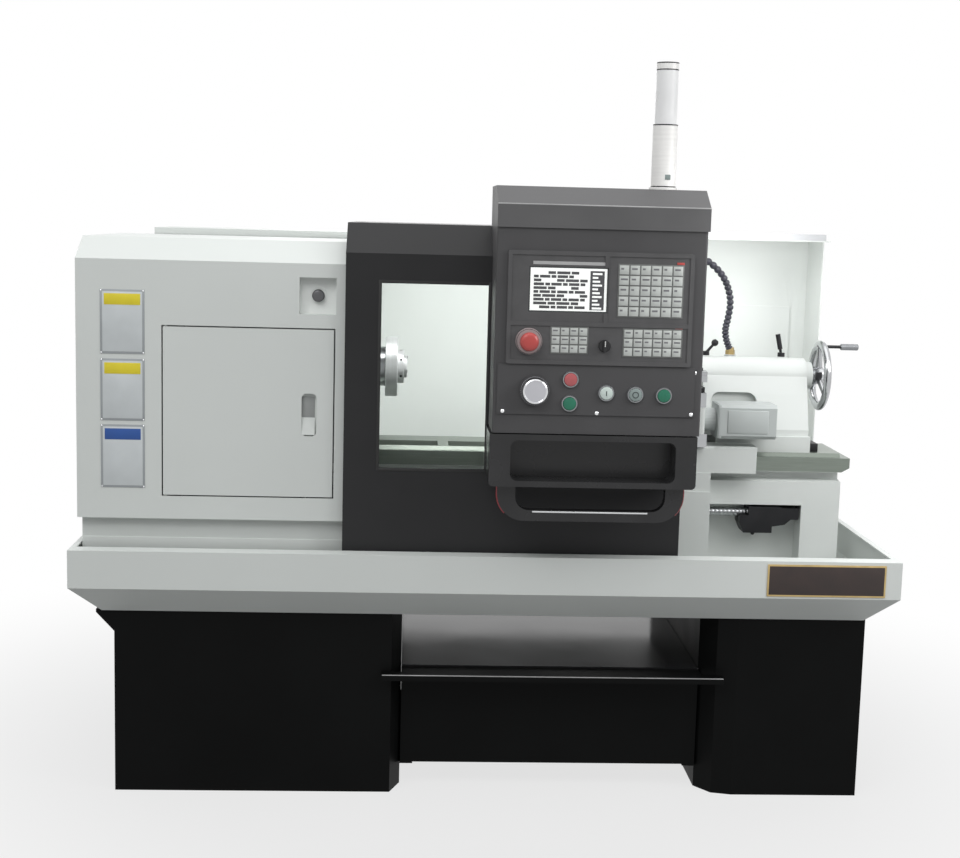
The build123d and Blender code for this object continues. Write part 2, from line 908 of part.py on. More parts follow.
# Main motor: square finned frame on feet, with a terminal box, on the plinth in front of the headstock
motor_y = cover_front_y + motor_front_gap
motor_z = plinth_top_z + motor_axis_height
motor_x = (pulley_x[1] + motor_shaft_gap, pulley_x[1] + motor_shaft_gap + motor_length)
with BuildPart() as main_motor:
    with Locations(((motor_x[0] + motor_x[1]) / 2, motor_y, motor_z)):
        Box(motor_length, motor_size, motor_size)
        chamfer(main_motor.edges().filter_by(Axis.X), motor_edge)
        Box(
            motor_length - 2 * motor_bell_length,
            motor_size + overrun,
            motor_size + overrun,
            mode=Mode.SUBTRACT,
        )
        Box(motor_length, motor_size - 2 * motor_fin_height, motor_size - 2 * motor_fin_height)
    fin_pitch = (motor_size - 2 * motor_edge - motor_fin_width) / (motor_side_fins - 1)
    fin_x = (motor_x[0] + motor_bell_length, motor_x[1] - motor_bell_length)
    for number in range(motor_side_fins):
        across = (number - (motor_side_fins - 1) / 2) * fin_pitch
        span_box(
            fin_x,
            (motor_y + across - motor_fin_width / 2, motor_y + across + motor_fin_width / 2),
            (motor_z, motor_z + motor_size / 2),
        )
        span_box(
            fin_x,
            (motor_y - motor_size / 2, motor_y + motor_size / 2),
            (motor_z + across - motor_fin_width / 2, motor_z + across + motor_fin_width / 2),
        )
    span_box(
        (motor_x[0] + motor_bell_length, motor_x[1] - motor_bell_length),
        (motor_y - motor_foot_width / 2, motor_y + motor_foot_width / 2),
        (plinth_top_z, plinth_top_z + motor_foot_height),
    )
    for foot_side in (-1, 1):
        foot_y = motor_y + foot_side * motor_foot_width * motor_foot_share
        span_box(
            (motor_x[0] + motor_bell_length, motor_x[1] - motor_bell_length),
            (foot_y - motor_foot_height / 2, foot_y + motor_foot_height / 2),
            (plinth_top_z, motor_z),
        )
    motor_middle_x = (motor_x[0] + motor_x[1]) / 2
    span_box(
        (motor_middle_x - motor_box_size / 2, motor_middle_x + motor_box_size / 2),
        (motor_y - motor_box_size / 2, motor_y + motor_box_size / 2),
        (motor_z, motor_z + motor_size / 2 + motor_box_size * motor_box_share),
    )
    rod((pulley_x[0], motor_y, motor_z), (1, 0, 0), motor_shaft_radius, pulley_width + motor_shaft_gap)
finish(main_motor, "main_motor")

# Motor pulley on the motor's shaft
with BuildPart() as motor_pulley:
    pulley_start = (pulley_x[0], motor_y, motor_z)
    faceted(pulley_start, (1, 0, 0), ((0, motor_pulley_radius), (pulley_width, motor_pulley_radius)), pulley_teeth)
    rod(pulley_start, (1, 0, 0), motor_shaft_radius + shaft_gap, pulley_width, mode=Mode.SUBTRACT)
finish(motor_pulley, "motor_pulley")

# Drive belt: loop round both pulleys
belt_x = pulley_x[0] + belt_side_gap
belt_width = pulley_width - 2 * belt_side_gap
belt_inner = (motor_pulley_radius + running_gap, spindle_pulley_radius + running_gap)
with BuildPart() as drive_belt:
    for thickness, mode in ((belt_thickness, Mode.ADD), (0, Mode.SUBTRACT)):
        with BuildSketch(Plane.YZ.offset(belt_x)):
            with Locations((motor_y, motor_z)):
                Circle(belt_inner[0] + thickness)
            with Locations((axis_y, axis_z)):
                Circle(belt_inner[1] + thickness)
            make_hull()
        extrude(amount=belt_width, mode=mode)
finish(drive_belt, "drive_belt")

# Headstock cover: bevelled sheet housing with a door opening, a shift pocket and holes for the spindle
door_x = (cover_left_x + door_left_inset, cover_right_x - door_right_inset)
door_z = (plinth_top_z + door_bottom_inset, plinth_top_z + door_bottom_inset + door_height)
bevel_line_z = cover_top_z - cover_bevel_height
bevel_back_y = cover_front_y + cover_bevel_depth
pocket_z = (shift_z - pocket_size / 2, shift_z + pocket_size / 2)
pivot_x = door_x[0] + door_gap + pivot_inset
pivot_y = cover_front_y + door_pan / 2
pocket_span = (pocket_x - pocket_size / 2, pocket_x + pocket_size / 2)
with BuildPart() as headstock_cover:
    side_section(
        (
            (cover_front_y, plinth_top_z),
            (cover_front_y, bevel_line_z),
            (bevel_back_y, cover_top_z),
            (cover_back_y, cover_top_z),
            (cover_back_y, plinth_top_z),
        ),
        cover_left_x,
        cover_length,
    )
    side_section(
        (
            (cover_front_y + cover_sheet, plinth_top_z + cover_sheet),
            (cover_front_y + cover_sheet, bevel_line_z - cover_sheet / 2),
            (bevel_back_y + cover_sheet / 2, cover_top_z - cover_sheet),
            (cover_back_y - cover_sheet, cover_top_z - cover_sheet),
            (cover_back_y - cover_sheet, plinth_top_z + cover_sheet),
        ),
        cover_left_x + cover_sheet,
        cover_length - 2 * cover_sheet,
        mode=Mode.SUBTRACT,
    )
    span_box(
        (cover_left_x + cover_lip, cover_right_x - cover_lip),
        (cover_front_y + cover_lip, cover_back_y - cover_lip),
        (plinth_top_z - overrun, plinth_top_z + cover_sheet + overrun),
        mode=Mode.SUBTRACT,
    )
    span_box(
        (bed_left_x - plinth_bed_gap, cover_right_x + overrun),
        (opening_front_y, bed_back_y + plinth_bed_gap),
        (plinth_top_z - overrun, bed_top_z + ridge_height + plinth_bed_gap),
        mode=Mode.SUBTRACT,
    )
    span_box(
        (pocket_span[0] - cover_sheet, pocket_span[1] + cover_sheet),
        (cover_front_y, pocket_back_y + cover_sheet),
        (pocket_z[0] - cover_sheet, pocket_z[1] + cover_sheet),
    )
    span_box(pocket_span, (cover_front_y - overrun, pocket_back_y), pocket_z, mode=Mode.SUBTRACT)
    rod((shift_x, pocket_back_y - overrun, shift_z), (0, 1, 0), shift_collar_radius, cover_sheet + 2 * overrun,
        mode=Mode.SUBTRACT)
    span_box(door_x, (cover_front_y - overrun, cover_front_y + cover_sheet + overrun), door_z, mode=Mode.SUBTRACT)
    rod((cover_right_x - overrun, axis_y, axis_z), (1, 0, 0), spindle_nose_radius + nose_hole_gap, 2 * overrun,
        mode=Mode.SUBTRACT)
    rod((cover_left_x - overrun, axis_y, axis_z), (1, 0, 0), bar_hole_radius, 2 * overrun + cover_sheet,
        mode=Mode.SUBTRACT)
    for lug_z, pin_z in ((door_z[0] - pivot_lug, door_z[0]), (door_z[1], door_z[1] - pivot_reach)):
        span_box(
            (pivot_x - pivot_lug / 2, pivot_x + pivot_lug / 2),
            (cover_front_y + cover_sheet, cover_front_y + door_pan),
            (lug_z, lug_z + pivot_lug),
        )
        rod((pivot_x, pivot_y, pin_z), (0, 0, 1), pivot_radius, pivot_reach)
finish(headstock_cover, "headstock_cover")

# Headstock door: shallow pan with a flush pull, hung on its left edge
pull_x = door_x[1] - pull_edge_inset
pull_top_z = door_z[1] - pull_drop
with BuildPart() as headstock_door:
    leaf_x = (door_x[0] + door_gap, door_x[1] - door_gap)
    leaf_z = (door_z[0] + door_gap, door_z[1] - door_gap)
    span_box(leaf_x, (cover_front_y, cover_front_y + door_pan), leaf_z)
    span_box(
        (leaf_x[0] + cover_sheet, leaf_x[1] - cover_sheet),
        (cover_front_y + cover_sheet, cover_front_y + door_pan + overrun),
        (leaf_z[0] + cover_sheet, leaf_z[1] - cover_sheet),
        mode=Mode.SUBTRACT,
    )
    with BuildSketch(front_plane(cover_front_y + door_pan)):
        with Locations((pull_x, pull_top_z - pull_height / 2)):
            Rectangle(pull_width + 2 * cover_sheet, pull_height + 2 * cover_sheet)
    extrude(amount=door_pan)
    with BuildSketch(front_plane(cover_front_y)):
        with Locations((pull_x, pull_top_z - pull_height / 2)):
            RectangleRounded(pull_width, pull_height, pull_width * pull_corner_share)
    extrude(amount=-pull_depth, mode=Mode.SUBTRACT)
    rod((pivot_x, pivot_y, door_z[0]), (0, 0, 1), pivot_radius + shaft_gap, door_height, mode=Mode.SUBTRACT)
finish(headstock_door, "headstock_door")

# Shift shaft: turned end in the cover's pocket, running into the headstock
with BuildPart() as shift_shaft:
    shaft_start_y = pocket_back_y - shift_reach
    rod(
        (shift_x, shaft_start_y, shift_z),
        (0, 1, 0),
        shift_radius,
        headstock_front_y + shift_socket - running_gap - shaft_start_y,
    )
    faceted(
        (shift_x, pocket_back_y - shift_collar, shift_z),
        (0, 1, 0),
        ((0, shift_collar_radius - running_gap), (shift_collar + cover_sheet, shift_collar_radius - running_gap)),
        control_sides,
    )
finish(shift_shaft, "shift_shaft")

# Electrical cabinet: open-backed sheet case on the plinth
cabinet_x = (tray_left_x + cabinet_left_inset, cover_right_x - cabinet_right_gap)
door_back_y = back_y - latch_size[1]
cabinet_y = (cover_back_y + cabinet_front_gap, door_back_y - cabinet_door_pan - running_gap)
cabinet_z = (plinth_top_z, plinth_top_z + cabinet_height)
with BuildPart() as electrical_cabinet:
    span_box(cabinet_x, cabinet_y, cabinet_z)
    span_box(
        (cabinet_x[0] + cabinet_sheet, cabinet_x[1] - cabinet_sheet),
        (cabinet_y[0] + cabinet_sheet, cabinet_y[1] - cabinet_sheet),
        (cabinet_z[0] + cabinet_sheet, cabinet_z[1] - cabinet_sheet),
        mode=Mode.SUBTRACT,
    )
    span_box(
        (cabinet_x[0] + cabinet_frame, cabinet_x[1] - cabinet_frame),
        (cabinet_y[1] - cabinet_sheet - overrun, cabinet_y[1] + overrun),
        (cabinet_z[0] + cabinet_frame, cabinet_z[1] - cabinet_frame),
        mode=Mode.SUBTRACT,
    )
finish(electrical_cabinet, "electrical_cabinet")

# Cabinet door: pan over the back opening, with louvre slots near its foot and its head, and a latch
with BuildPart() as cabinet_door:
    span_box(cabinet_x, (door_back_y - cabinet_door_pan, door_back_y), cabinet_z)
    span_box(
        (cabinet_x[0] + cabinet_sheet, cabinet_x[1] - cabinet_sheet),
        (door_back_y - cabinet_door_pan - overrun, door_back_y - cabinet_sheet),
        (cabinet_z[0] + cabinet_sheet, cabinet_z[1] - cabinet_sheet),
        mode=Mode.SUBTRACT,
    )
    with BuildSketch(front_plane(door_back_y + overrun)):
        for level in (cabinet_z[0] + louvre_margin, cabinet_z[1] - louvre_margin):
            with Locations(((cabinet_x[0] + cabinet_x[1]) / 2, level)):
                with GridLocations(0, louvre_pitch, 1, louvres):
                    Rectangle(*louvre_size)
    extrude(amount=cabinet_sheet + 2 * overrun, mode=Mode.SUBTRACT)
    latch_x = cabinet_x[1] - latch_edge_inset
    latch_z = (cabinet_z[0] + cabinet_z[1]) / 2
    span_box(
        (latch_x - latch_size[0] / 2, latch_x + latch_size[0] / 2),
        (door_back_y, back_y),
        (latch_z - latch_size[2] / 2, latch_z + latch_size[2] / 2),
    )
finish(cabinet_door, "cabinet_door")

# Equipment plate in the cabinet: drive modules above a row of terminals
with BuildPart() as equipment_plate:
    plate_front_y = cabinet_y[0] + cabinet_sheet
    cabinet_middle_x = (cabinet_x[0] + cabinet_x[1]) / 2
    cabinet_middle_z = (cabinet_z[0] + cabinet_z[1]) / 2
    span_box(
        (cabinet_x[0] + plate_margin, cabinet_x[1] - plate_margin),
        (plate_front_y, plate_front_y + plate_thickness),
        (cabinet_z[0] + plate_margin, cabinet_z[1] - plate_margin),
    )
    for number in range(drives):
        drive_x = cabinet_middle_x + (number - (drives - 1) / 2) * drive_pitch
        span_box(
            (drive_x - drive_size[0] / 2, drive_x + drive_size[0] / 2),
            (plate_front_y + plate_thickness, plate_front_y + plate_thickness + drive_size[1]),
            (cabinet_middle_z, cabinet_middle_z + drive_size[2]),
        )
    span_box(
        (cabinet_x[0] + 2 * plate_margin, cabinet_x[1] - 2 * plate_margin),
        (plate_front_y + plate_thickness, plate_front_y + plate_thickness + terminal_depth),
        (cabinet_z[0] + 3 * plate_margin, cabinet_z[0] + 3 * plate_margin + terminal_height),
    )
finish(equipment_plate, "equipment_plate")

# Rear splash guard: back wall on the tray's rear flange, a short return on the right and a hood in front
rear_x = (cover_right_x, tray_right_x - rear_right_inset)
rear_back_y = tray_back_y - rear_back_inset
rear_top_z = rim_top_z + rear_height
hood_front_y = rear_back_y - rear_hood
hatch_x = (rear_x[1] - hatch_right_inset - hatch_size[0], rear_x[1] - hatch_right_inset)
with BuildPart() as rear_guard:
    span_box(rear_x, (rear_back_y - rear_sheet, rear_back_y), (rim_top_z, rear_top_z))
    span_box((rear_x[1] - rear_sheet, rear_x[1]), (rear_back_y - rear_return, rear_back_y), (rim_top_z, rear_top_z))
    span_box(rear_x, (hood_front_y, rear_back_y), (rear_top_z - rear_hood_sheet, rear_top_z))
    span_box(
        hatch_x,
        (rear_back_y - rear_sheet - hatch_rise, rear_back_y - rear_sheet),
        (rim_top_z + hatch_lift, rim_top_z + hatch_lift + hatch_size[1]),
    )
finish(rear_guard, "rear_guard")

# Rails of the sliding guard: the lower one on arms inside the tray's front wall, the upper one on the hood
lower_rail_y = (guard_front_y + rail_inset, guard_front_y + rail_inset + rail_width)
lower_rail_top_z = guard_bottom_z - rail_drop
roof_under_z = guard_top_z - guard_sheet
upper_rail_y = (hood_front_y + top_rail_inset, hood_front_y + top_rail_inset + rail_width)
rail_x = (guard_left_x, tray_right_x - rail_right_gap)
with BuildPart() as guard_rails:
    span_box(rail_x, lower_rail_y, (lower_rail_top_z - rail_height, lower_rail_top_z))
    arm_pitch = (rail_x[1] - rail_x[0] - rail_arm_width) / (rail_arms - 1)
    for number in range(rail_arms):
        arm_x = rail_x[0] + number * arm_pitch
        span_box(
            (arm_x, arm_x + rail_arm_width),
            (tray_front_y + tray_sheet, lower_rail_y[0]),
            (lower_rail_top_z - rail_height, lower_rail_top_z - rail_height + rail_arm_height),
        )
    span_box(
        (rear_x[0] + top_rail_end_gap, rear_x[1] - top_rail_end_gap),
        upper_rail_y,
        (rear_top_z, roof_under_z - running_gap),
    )
finish(guard_rails, "guard_rails")

# Guard shell: one folded sheet, upright in front, bevelled and carried back as a roof, with turned-in ends,
# two pads on the lower rail and two pairs of cheeks that straddle the upper rail
guard_bevel_z = guard_top_z - guard_bevel_height
guard_bevel_y = guard_front_y + guard_bevel_depth
guard_back_y = upper_rail_y[1] + glide_cheek + guard_roof_margin
window_x = (guard_left_x + window_left_inset, guard_left_x + window_left_inset + window_width)
window_z = (guard_bottom_z + window_lift, guard_bottom_z + window_lift + window_height)


def guard_inside(depth):
    """The guard's side outline, moved inwards."""
    return (
        (guard_front_y + depth, guard_bottom_z - overrun),
        (guard_front_y + depth, guard_bevel_z - depth / 2),
        (guard_bevel_y + depth / 2, guard_top_z - depth),
        (guard_back_y + overrun, guard_top_z - depth),
        (guard_back_y + overrun, guard_bottom_z - overrun),
    )


with BuildPart() as guard_shell:
    side_section(
        (
            (guard_front_y, guard_bottom_z),
            (guard_front_y, guard_bevel_z),
            (guard_bevel_y, guard_top_z),
            (guard_back_y, guard_top_z),
            (guard_back_y, guard_bottom_z),
        ),
        guard_left_x,
        guard_width,
    )
    side_section(guard_inside(guard_return), guard_left_x - overrun, guard_width + 2 * overrun, mode=Mode.SUBTRACT)
    side_section(
        guard_inside(guard_sheet),
        guard_left_x + guard_sheet,
        guard_width - 2 * guard_sheet,
        mode=Mode.SUBTRACT,
    )
    span_box(window_x, (guard_front_y - overrun, guard_front_y + guard_sheet + overrun), window_z, mode=Mode.SUBTRACT)
    for glide_x in (guard_left_x + glide_end_inset, guard_right_x - glide_end_inset - glide_length):
        span_box(
            (glide_x, glide_x + glide_length),
            (guard_front_y + guard_sheet, lower_rail_y[1] + glide_cheek),
            (lower_rail_top_z + running_gap, guard_bottom_z + glide_wrap),
        )
        span_box(
            (glide_x, glide_x + glide_length),
            (upper_rail_y[0] - glide_cheek, upper_rail_y[1] + glide_cheek),
            (roof_under_z - glide_wrap, roof_under_z),
        )
    span_box(
        (guard_left_x - overrun, guard_right_x + overrun),
        (upper_rail_y[0] - running_gap, upper_rail_y[1] + running_gap),
        (roof_under_z - glide_wrap - overrun, roof_under_z),
        mode=Mode.SUBTRACT,
    )
finish(guard_shell, "guard_shell")

# Guard window: clear pane held behind the opening
with BuildPart() as guard_window:
    span_box(
        (window_x[0] - window_frame, window_x[1] + window_frame),
        (guard_front_y + guard_sheet, guard_front_y + guard_sheet + pane_thickness),
        (window_z[0] - window_frame, window_z[1] + window_frame),
    )
finish(guard_window, "guard_window")

# Control pod: deep box whose back lies on the guard's face and bevel
unit_face_y = pod_face_y - unit_thickness
switch_face_y = pod_face_y - switch_plate_thickness


def on_pod(offset):
    """A place on the pod's face, from its lower left corner."""
    return (pod_left_x + offset[0], pod_bottom_z + offset[1])


with BuildPart() as control_pod:
    pod_top_back_y = guard_front_y + (pod_top_z - guard_bevel_z) * guard_bevel_depth / guard_bevel_height
    side_section(
        (
            (pod_face_y, pod_bottom_z),
            (pod_face_y, pod_top_z),
            (pod_top_back_y, pod_top_z),
            (guard_front_y, guard_bevel_z),
            (guard_front_y, pod_bottom_z),
        ),
        pod_left_x,
        pod_width,
    )
    fillet(control_pod.edges().filter_by(Axis.Z).group_by(Axis.Y)[0], pod_edge)
finish(control_pod, "control_pod")

# Visor over the pod, with a sloped brow
with BuildPart() as pod_visor:
    visor_front_y = pod_face_y - visor_overhang
    side_section(
        (
            (visor_front_y, pod_top_z),
            (visor_front_y, pod_top_z + visor_face),
            (visor_front_y + visor_slope_depth, visor_top_z),
            (pod_top_back_y, visor_top_z),
            (pod_top_back_y, pod_top_z),
        ),
        pod_left_x,
        pod_width + visor_edge,
    )
finish(pod_visor, "pod_visor")

# Control unit frame: moulded plate with sunk fields for the screen and the keys
unit_x = pod_left_x + unit_left_inset
unit_z = pod_bottom_z + unit_lift


def unit_field(offset, size, depth, mode):
    """A rectangle on the control unit, from its lower left corner, cut from the front."""
    span_box(
        (unit_x + offset[0], unit_x + offset[0] + size[0]),
        (unit_face_y - overrun, unit_face_y + depth),
        (unit_z + offset[1], unit_z + offset[1] + size[1]),
        mode=mode,
    )


key_fields = (
    (upper_keys_offset, upper_keys_size, upper_key_columns, upper_key_rows),
    (left_keys_offset, left_keys_size, left_key_columns, left_key_rows),
    (right_keys_offset, right_keys_size, right_key_columns, right_key_rows),
)
estop_start_y = front_y
estop_head_y = estop_start_y + estop_head
field_floor_y = unit_face_y + unit_field_depth
ring_height = field_floor_y - estop_head_y - estop_travel - 2 * running_gap
with BuildPart() as unit_frame:
    with BuildSketch(front_plane(pod_face_y)):
        with Locations((unit_x + unit_width / 2, unit_z + unit_height / 2)):
            RectangleRounded(unit_width, unit_height, unit_corner)
    extrude(amount=unit_thickness)
    split_x = unit_width * unit_split_shares[0]
    split_z = unit_height * unit_split_shares[1]
    border = unit_border
    lower_size = (unit_width - 2 * border, split_z - border - border / 2)
    unit_field((border, border), lower_size, unit_field_depth, Mode.SUBTRACT)
    left_size = (split_x - border - border / 2, unit_height - split_z - border - border / 2)
    unit_field((border, split_z + border / 2), left_size, unit_field_depth, Mode.SUBTRACT)
    right_size = (unit_width - split_x - border - border / 2, left_size[1])
    unit_field((split_x + border / 2, split_z + border / 2), right_size, unit_field_depth, Mode.SUBTRACT)
    unit_field(screen_offset, screen_size, unit_field_depth + screen_recess, Mode.SUBTRACT)
    estop_place = on_pod(estop_offset)
    turned(
        (estop_place[0], field_floor_y, estop_place[1]),
        (0, -1, 0),
        (
            (0, estop_neck_radius + running_gap),
            (0, estop_ring_radius),
            (ring_height, estop_ring_radius),
            (ring_height, estop_neck_radius + running_gap),
        ),
    )
finish(unit_frame, "unit_frame")

# Screen glass in its recess
with BuildPart() as lcd_screen:
    screen_back_y = unit_face_y + unit_field_depth + screen_recess
    span_box(
        (unit_x + screen_offset[0], unit_x + screen_offset[0] + screen_size[0]),
        (screen_back_y - screen_thickness, screen_back_y),
        (unit_z + screen_offset[1], unit_z + screen_offset[1] + screen_size[1]),
    )
finish(lcd_screen, "lcd_screen")

# Keypads: three membrane films with raised keys in rows
with BuildPart() as keypads:
    for offset, size, columns, rows in key_fields:
        low = (unit_x + offset[0], unit_z + offset[1])
        span_box(
            (low[0], low[0] + size[0]),
            (field_floor_y - key_film, field_floor_y),
            (low[1], low[1] + size[1]),
        )
        pitch = ((size[0] - key_gap) / columns, (size[1] - key_gap) / rows)
        with BuildSketch(front_plane(field_floor_y - key_film)):
            with Locations((low[0] + size[0] / 2, low[1] + size[1] / 2)):
                with GridLocations(pitch[0], pitch[1], columns, rows):
                    Rectangle(pitch[0] - key_gap, pitch[1] - key_gap)
        extrude(amount=key_rise)
finish(keypads, "keypads")

# Switch plate under the control unit, with the rings of the buttons and the dial
with BuildPart() as switch_plate:
    plate_low = (pod_left_x + plate_left_inset, pod_bottom_z + plate_lift)
    with BuildSketch(front_plane(pod_face_y)):
        with Locations((plate_low[0] + plate_width / 2, plate_low[1] + plate_height / 2)):
            Rectangle(plate_width, plate_height)
    extrude(amount=switch_plate_thickness)
    with BuildSketch(front_plane(switch_face_y)):
        for offset in button_offsets:
            with Locations(on_pod(offset)):
                RegularPolygon(button_ring_radius, control_sides)
                RegularPolygon(button_radius + 2 * running_gap, control_sides, mode=Mode.SUBTRACT)
        with Locations(on_pod(dial_offset)):
            RegularPolygon(dial_ring_radius, control_sides)
    extrude(amount=button_ring_height)
finish(switch_plate, "switch_plate")


def control_start(offset, y):
    """A point on a control's axis."""
    place = on_pod(offset)
    return (place[0], y, place[1])


# Push buttons: caps in their rings, each with room for its travel
ring_face_y = switch_face_y - button_ring_height
cap_floor_y = switch_face_y - button_travel - running_gap
for label, offset in zip(button_names, button_offsets):
    with BuildPart() as push_button:
        faceted(
            control_start(offset, ring_face_y - button_reach),
            (0, 1, 0),
            ((0, button_radius), (cap_floor_y - ring_face_y + button_reach, button_radius)),
            control_sides,
        )
    finish(push_button, label)

# Emergency stop: mushroom on a neck that travels in its ring
with BuildPart() as estop_button:
    neck_floor_y = field_floor_y - running_gap - estop_travel
    faceted(
        control_start(estop_offset, estop_start_y),
        (0, 1, 0),
        [(estop_head * along, estop_radius * out) for along, out in estop_dome_shares],
        control_sides,
    )
    faceted(
        control_start(estop_offset, estop_head_y),
        (0, 1, 0),
        ((0, estop_neck_radius), (neck_floor_y - estop_head_y, estop_neck_radius)),
        control_sides,
    )
finish(estop_button, "estop_button")

# Feed selector: round knob with a raised grip bar
with BuildPart() as feed_selector:
    knob_floor_y = field_floor_y - running_gap
    faceted(
        control_start(selector_offset, knob_floor_y),
        (0, -1, 0),
        ((0, selector_radius), (selector_reach / 2, selector_radius)),
        control_sides,
    )
    grip = on_pod(selector_offset)
    span_box(
        (grip[0] - selector_bar_width / 2, grip[0] + selector_bar_width / 2),
        (knob_floor_y - selector_reach, knob_floor_y - selector_reach / 2),
        (grip[1] - selector_radius * selector_bar_share, grip[1] + selector_radius * selector_bar_share),
    )
finish(feed_selector, "feed_selector")

# Hand dial: wheel that turns on the face of its ring
with BuildPart() as hand_dial:
    faceted(
        control_start(dial_offset, ring_face_y - running_gap),
        (0, -1, 0),
        ((0, dial_radius), (dial_height, dial_radius)),
        control_sides,
    )
finish(hand_dial, "hand_dial")

# Pull box: tray with a rounded recess under the pod
pull_box_x = (pod_left_x - box_side, pod_right_x - box_side)
pull_box_z = (pod_bottom_z - box_gap - box_height, pod_bottom_z - box_gap)
pull_box_face_y = pod_face_y - box_side
with BuildPart() as pull_box:
    span_box(pull_box_x, (pull_box_face_y, guard_front_y), pull_box_z)
    fillet(pull_box.edges().filter_by(Axis.Y).group_by(Axis.Z)[0], box_corner)
    with BuildSketch(front_plane(pull_box_face_y)):
        with Locations(((pull_box_x[0] + pull_box_x[1]) / 2, (pull_box_z[0] + pull_box_z[1]) / 2)):
            RectangleRounded(
                pull_box_x[1] - pull_box_x[0] - 2 * box_recess_inset[0],
                box_height - 2 * box_recess_inset[1],
                box_recess_corner,
            )
    extrude(amount=-box_recess_depth, mode=Mode.SUBTRACT)
finish(pull_box, "pull_box")

# Door handle: U-shaped moulding under the box, its arms curving into a level bar
handle_x = (pull_box_x[0] + handle_inset, pull_box_x[1] - handle_inset)
handle_y = pod_face_y + handle_setback
handle_low_z = pull_box_z[0] - handle_drop - handle_bar / 2
with BuildPart() as door_handle:
    with BuildSketch(front_plane(handle_y + handle_thickness / 2)):
        with BuildLine():
            FilletPolyline(
                (handle_x[0], pull_box_z[0]),
                (handle_x[0], handle_low_z),
                (handle_x[1], handle_low_z),
                (handle_x[1], pull_box_z[0]),
                radius=handle_corner,
            )
            Line((handle_x[1], pull_box_z[0]), (handle_x[0], pull_box_z[0]))
        make_face()
        with BuildLine():
            FilletPolyline(
                (handle_x[0] + handle_arm, pull_box_z[0]),
                (handle_x[0] + handle_arm, handle_low_z + handle_bar),
                (handle_x[1] - handle_arm, handle_low_z + handle_bar),
                (handle_x[1] - handle_arm, pull_box_z[0]),
                radius=handle_corner / 2,
            )
            Line((handle_x[1] - handle_arm, pull_box_z[0]), (handle_x[0] + handle_arm, pull_box_z[0]))
        make_face(mode=Mode.SUBTRACT)
    extrude(amount=handle_thickness)
finish(door_handle, "door_handle")

# Stack light: metal base on the visor with its cap, and a clear lens between them
lamp_place = (pod_right_x - lamp_right_inset, pod_face_y + lamp_setback, visor_top_z)
lens_z = visor_top_z + lamp_base_height
with BuildPart() as lamp_base:
    faceted(lamp_place, (0, 0, 1), ((0, lamp_foot_radius), (lamp_foot_height, lamp_foot_radius)), control_sides)
    faceted(
        lamp_place,
        (0, 0, 1),
        ((lamp_foot_height, lamp_base_radius), (lamp_base_height, lamp_base_radius)),
        control_sides,
    )
    cap_start = (lamp_place[0], lamp_place[1], lens_z + lamp_lens_height)
    faceted(cap_start, (0, 0, 1), ((0, lamp_lens_radius), (lamp_cap_height, lamp_lens_radius)), control_sides)
finish(lamp_base, "lamp_base")

with BuildPart() as lamp_lens:
    lens_start = (lamp_place[0], lamp_place[1], lens_z)
    faceted(lens_start, (0, 0, 1), ((0, lamp_lens_radius), (lamp_lens_height, lamp_lens_radius)), control_sides)
finish(lamp_lens, "lamp_lens")

# Saddle: H-shaped slide on the ways, with wings that pass the tailstock and a dovetail across the top
saddle_x = (bed_right_x - saddle_right_gap - saddle_length, bed_right_x - saddle_right_gap)
saddle_y = (bed_front_y - saddle_front_reach, bed_back_y + saddle_front_reach)
saddle_top_z = bed_top_z + saddle_height
bridge_x = (saddle_x[0] + saddle_bridge_inset, saddle_x[1] - saddle_bridge_inset)
slide_x = ((bridge_x[0] + bridge_x[1]) / 2 - slide_width / 2, (bridge_x[0] + bridge_x[1]) / 2 + slide_width / 2)
slide_middle_x = (slide_x[0] + slide_x[1]) / 2
ridge_room = running_gap * 2


def dovetail(grow):
    """The dovetail's outline across the cross slide, grown on every side."""
    return (
        (slide_middle_x - dovetail_bottom / 2 - grow, saddle_top_z - grow),
        (slide_middle_x - dovetail_top / 2 - grow, saddle_top_z + dovetail_height + grow),
        (slide_middle_x + dovetail_top / 2 + grow, saddle_top_z + dovetail_height + grow),
        (slide_middle_x + dovetail_bottom / 2 + grow, saddle_top_z - grow),
    )


with BuildPart() as saddle:
    for wing_y in ((saddle_y[0], saddle_y[0] + saddle_wing), (saddle_y[1] - saddle_wing, saddle_y[1])):
        span_box(saddle_x, wing_y, (neck_top_z, saddle_top_z))
    span_box(bridge_x, saddle_y, (neck_top_z, saddle_top_z))
    chamfer(saddle.edges().filter_by(Axis.X).group_by(Axis.Z)[-1].sort_by(Axis.Y)[0], saddle_edge)
    side_section(
        (
            (bed_front_y - running_gap, neck_top_z - overrun),
            (bed_front_y - running_gap, bed_top_z + running_gap),
            (ridge_y - ridge_room, bed_top_z + running_gap),
            (ridge_y + ridge_width / 2, bed_top_z + ridge_height + 2 * ridge_room),
            (ridge_y + ridge_width + ridge_room, bed_top_z + running_gap),
            (bed_back_y + running_gap, bed_top_z + running_gap),
            (bed_back_y + running_gap, neck_top_z - overrun),
        ),
        saddle_x[0] - overrun,
        saddle_length + 2 * overrun,
        mode=Mode.SUBTRACT,
    )
    with BuildSketch(front_plane(saddle_y[1])):
        with BuildLine():
            Polyline(*dovetail(0), close=True)
        make_face()
    extrude(amount=saddle_y[1] - saddle_y[0])
finish(saddle, "saddle")

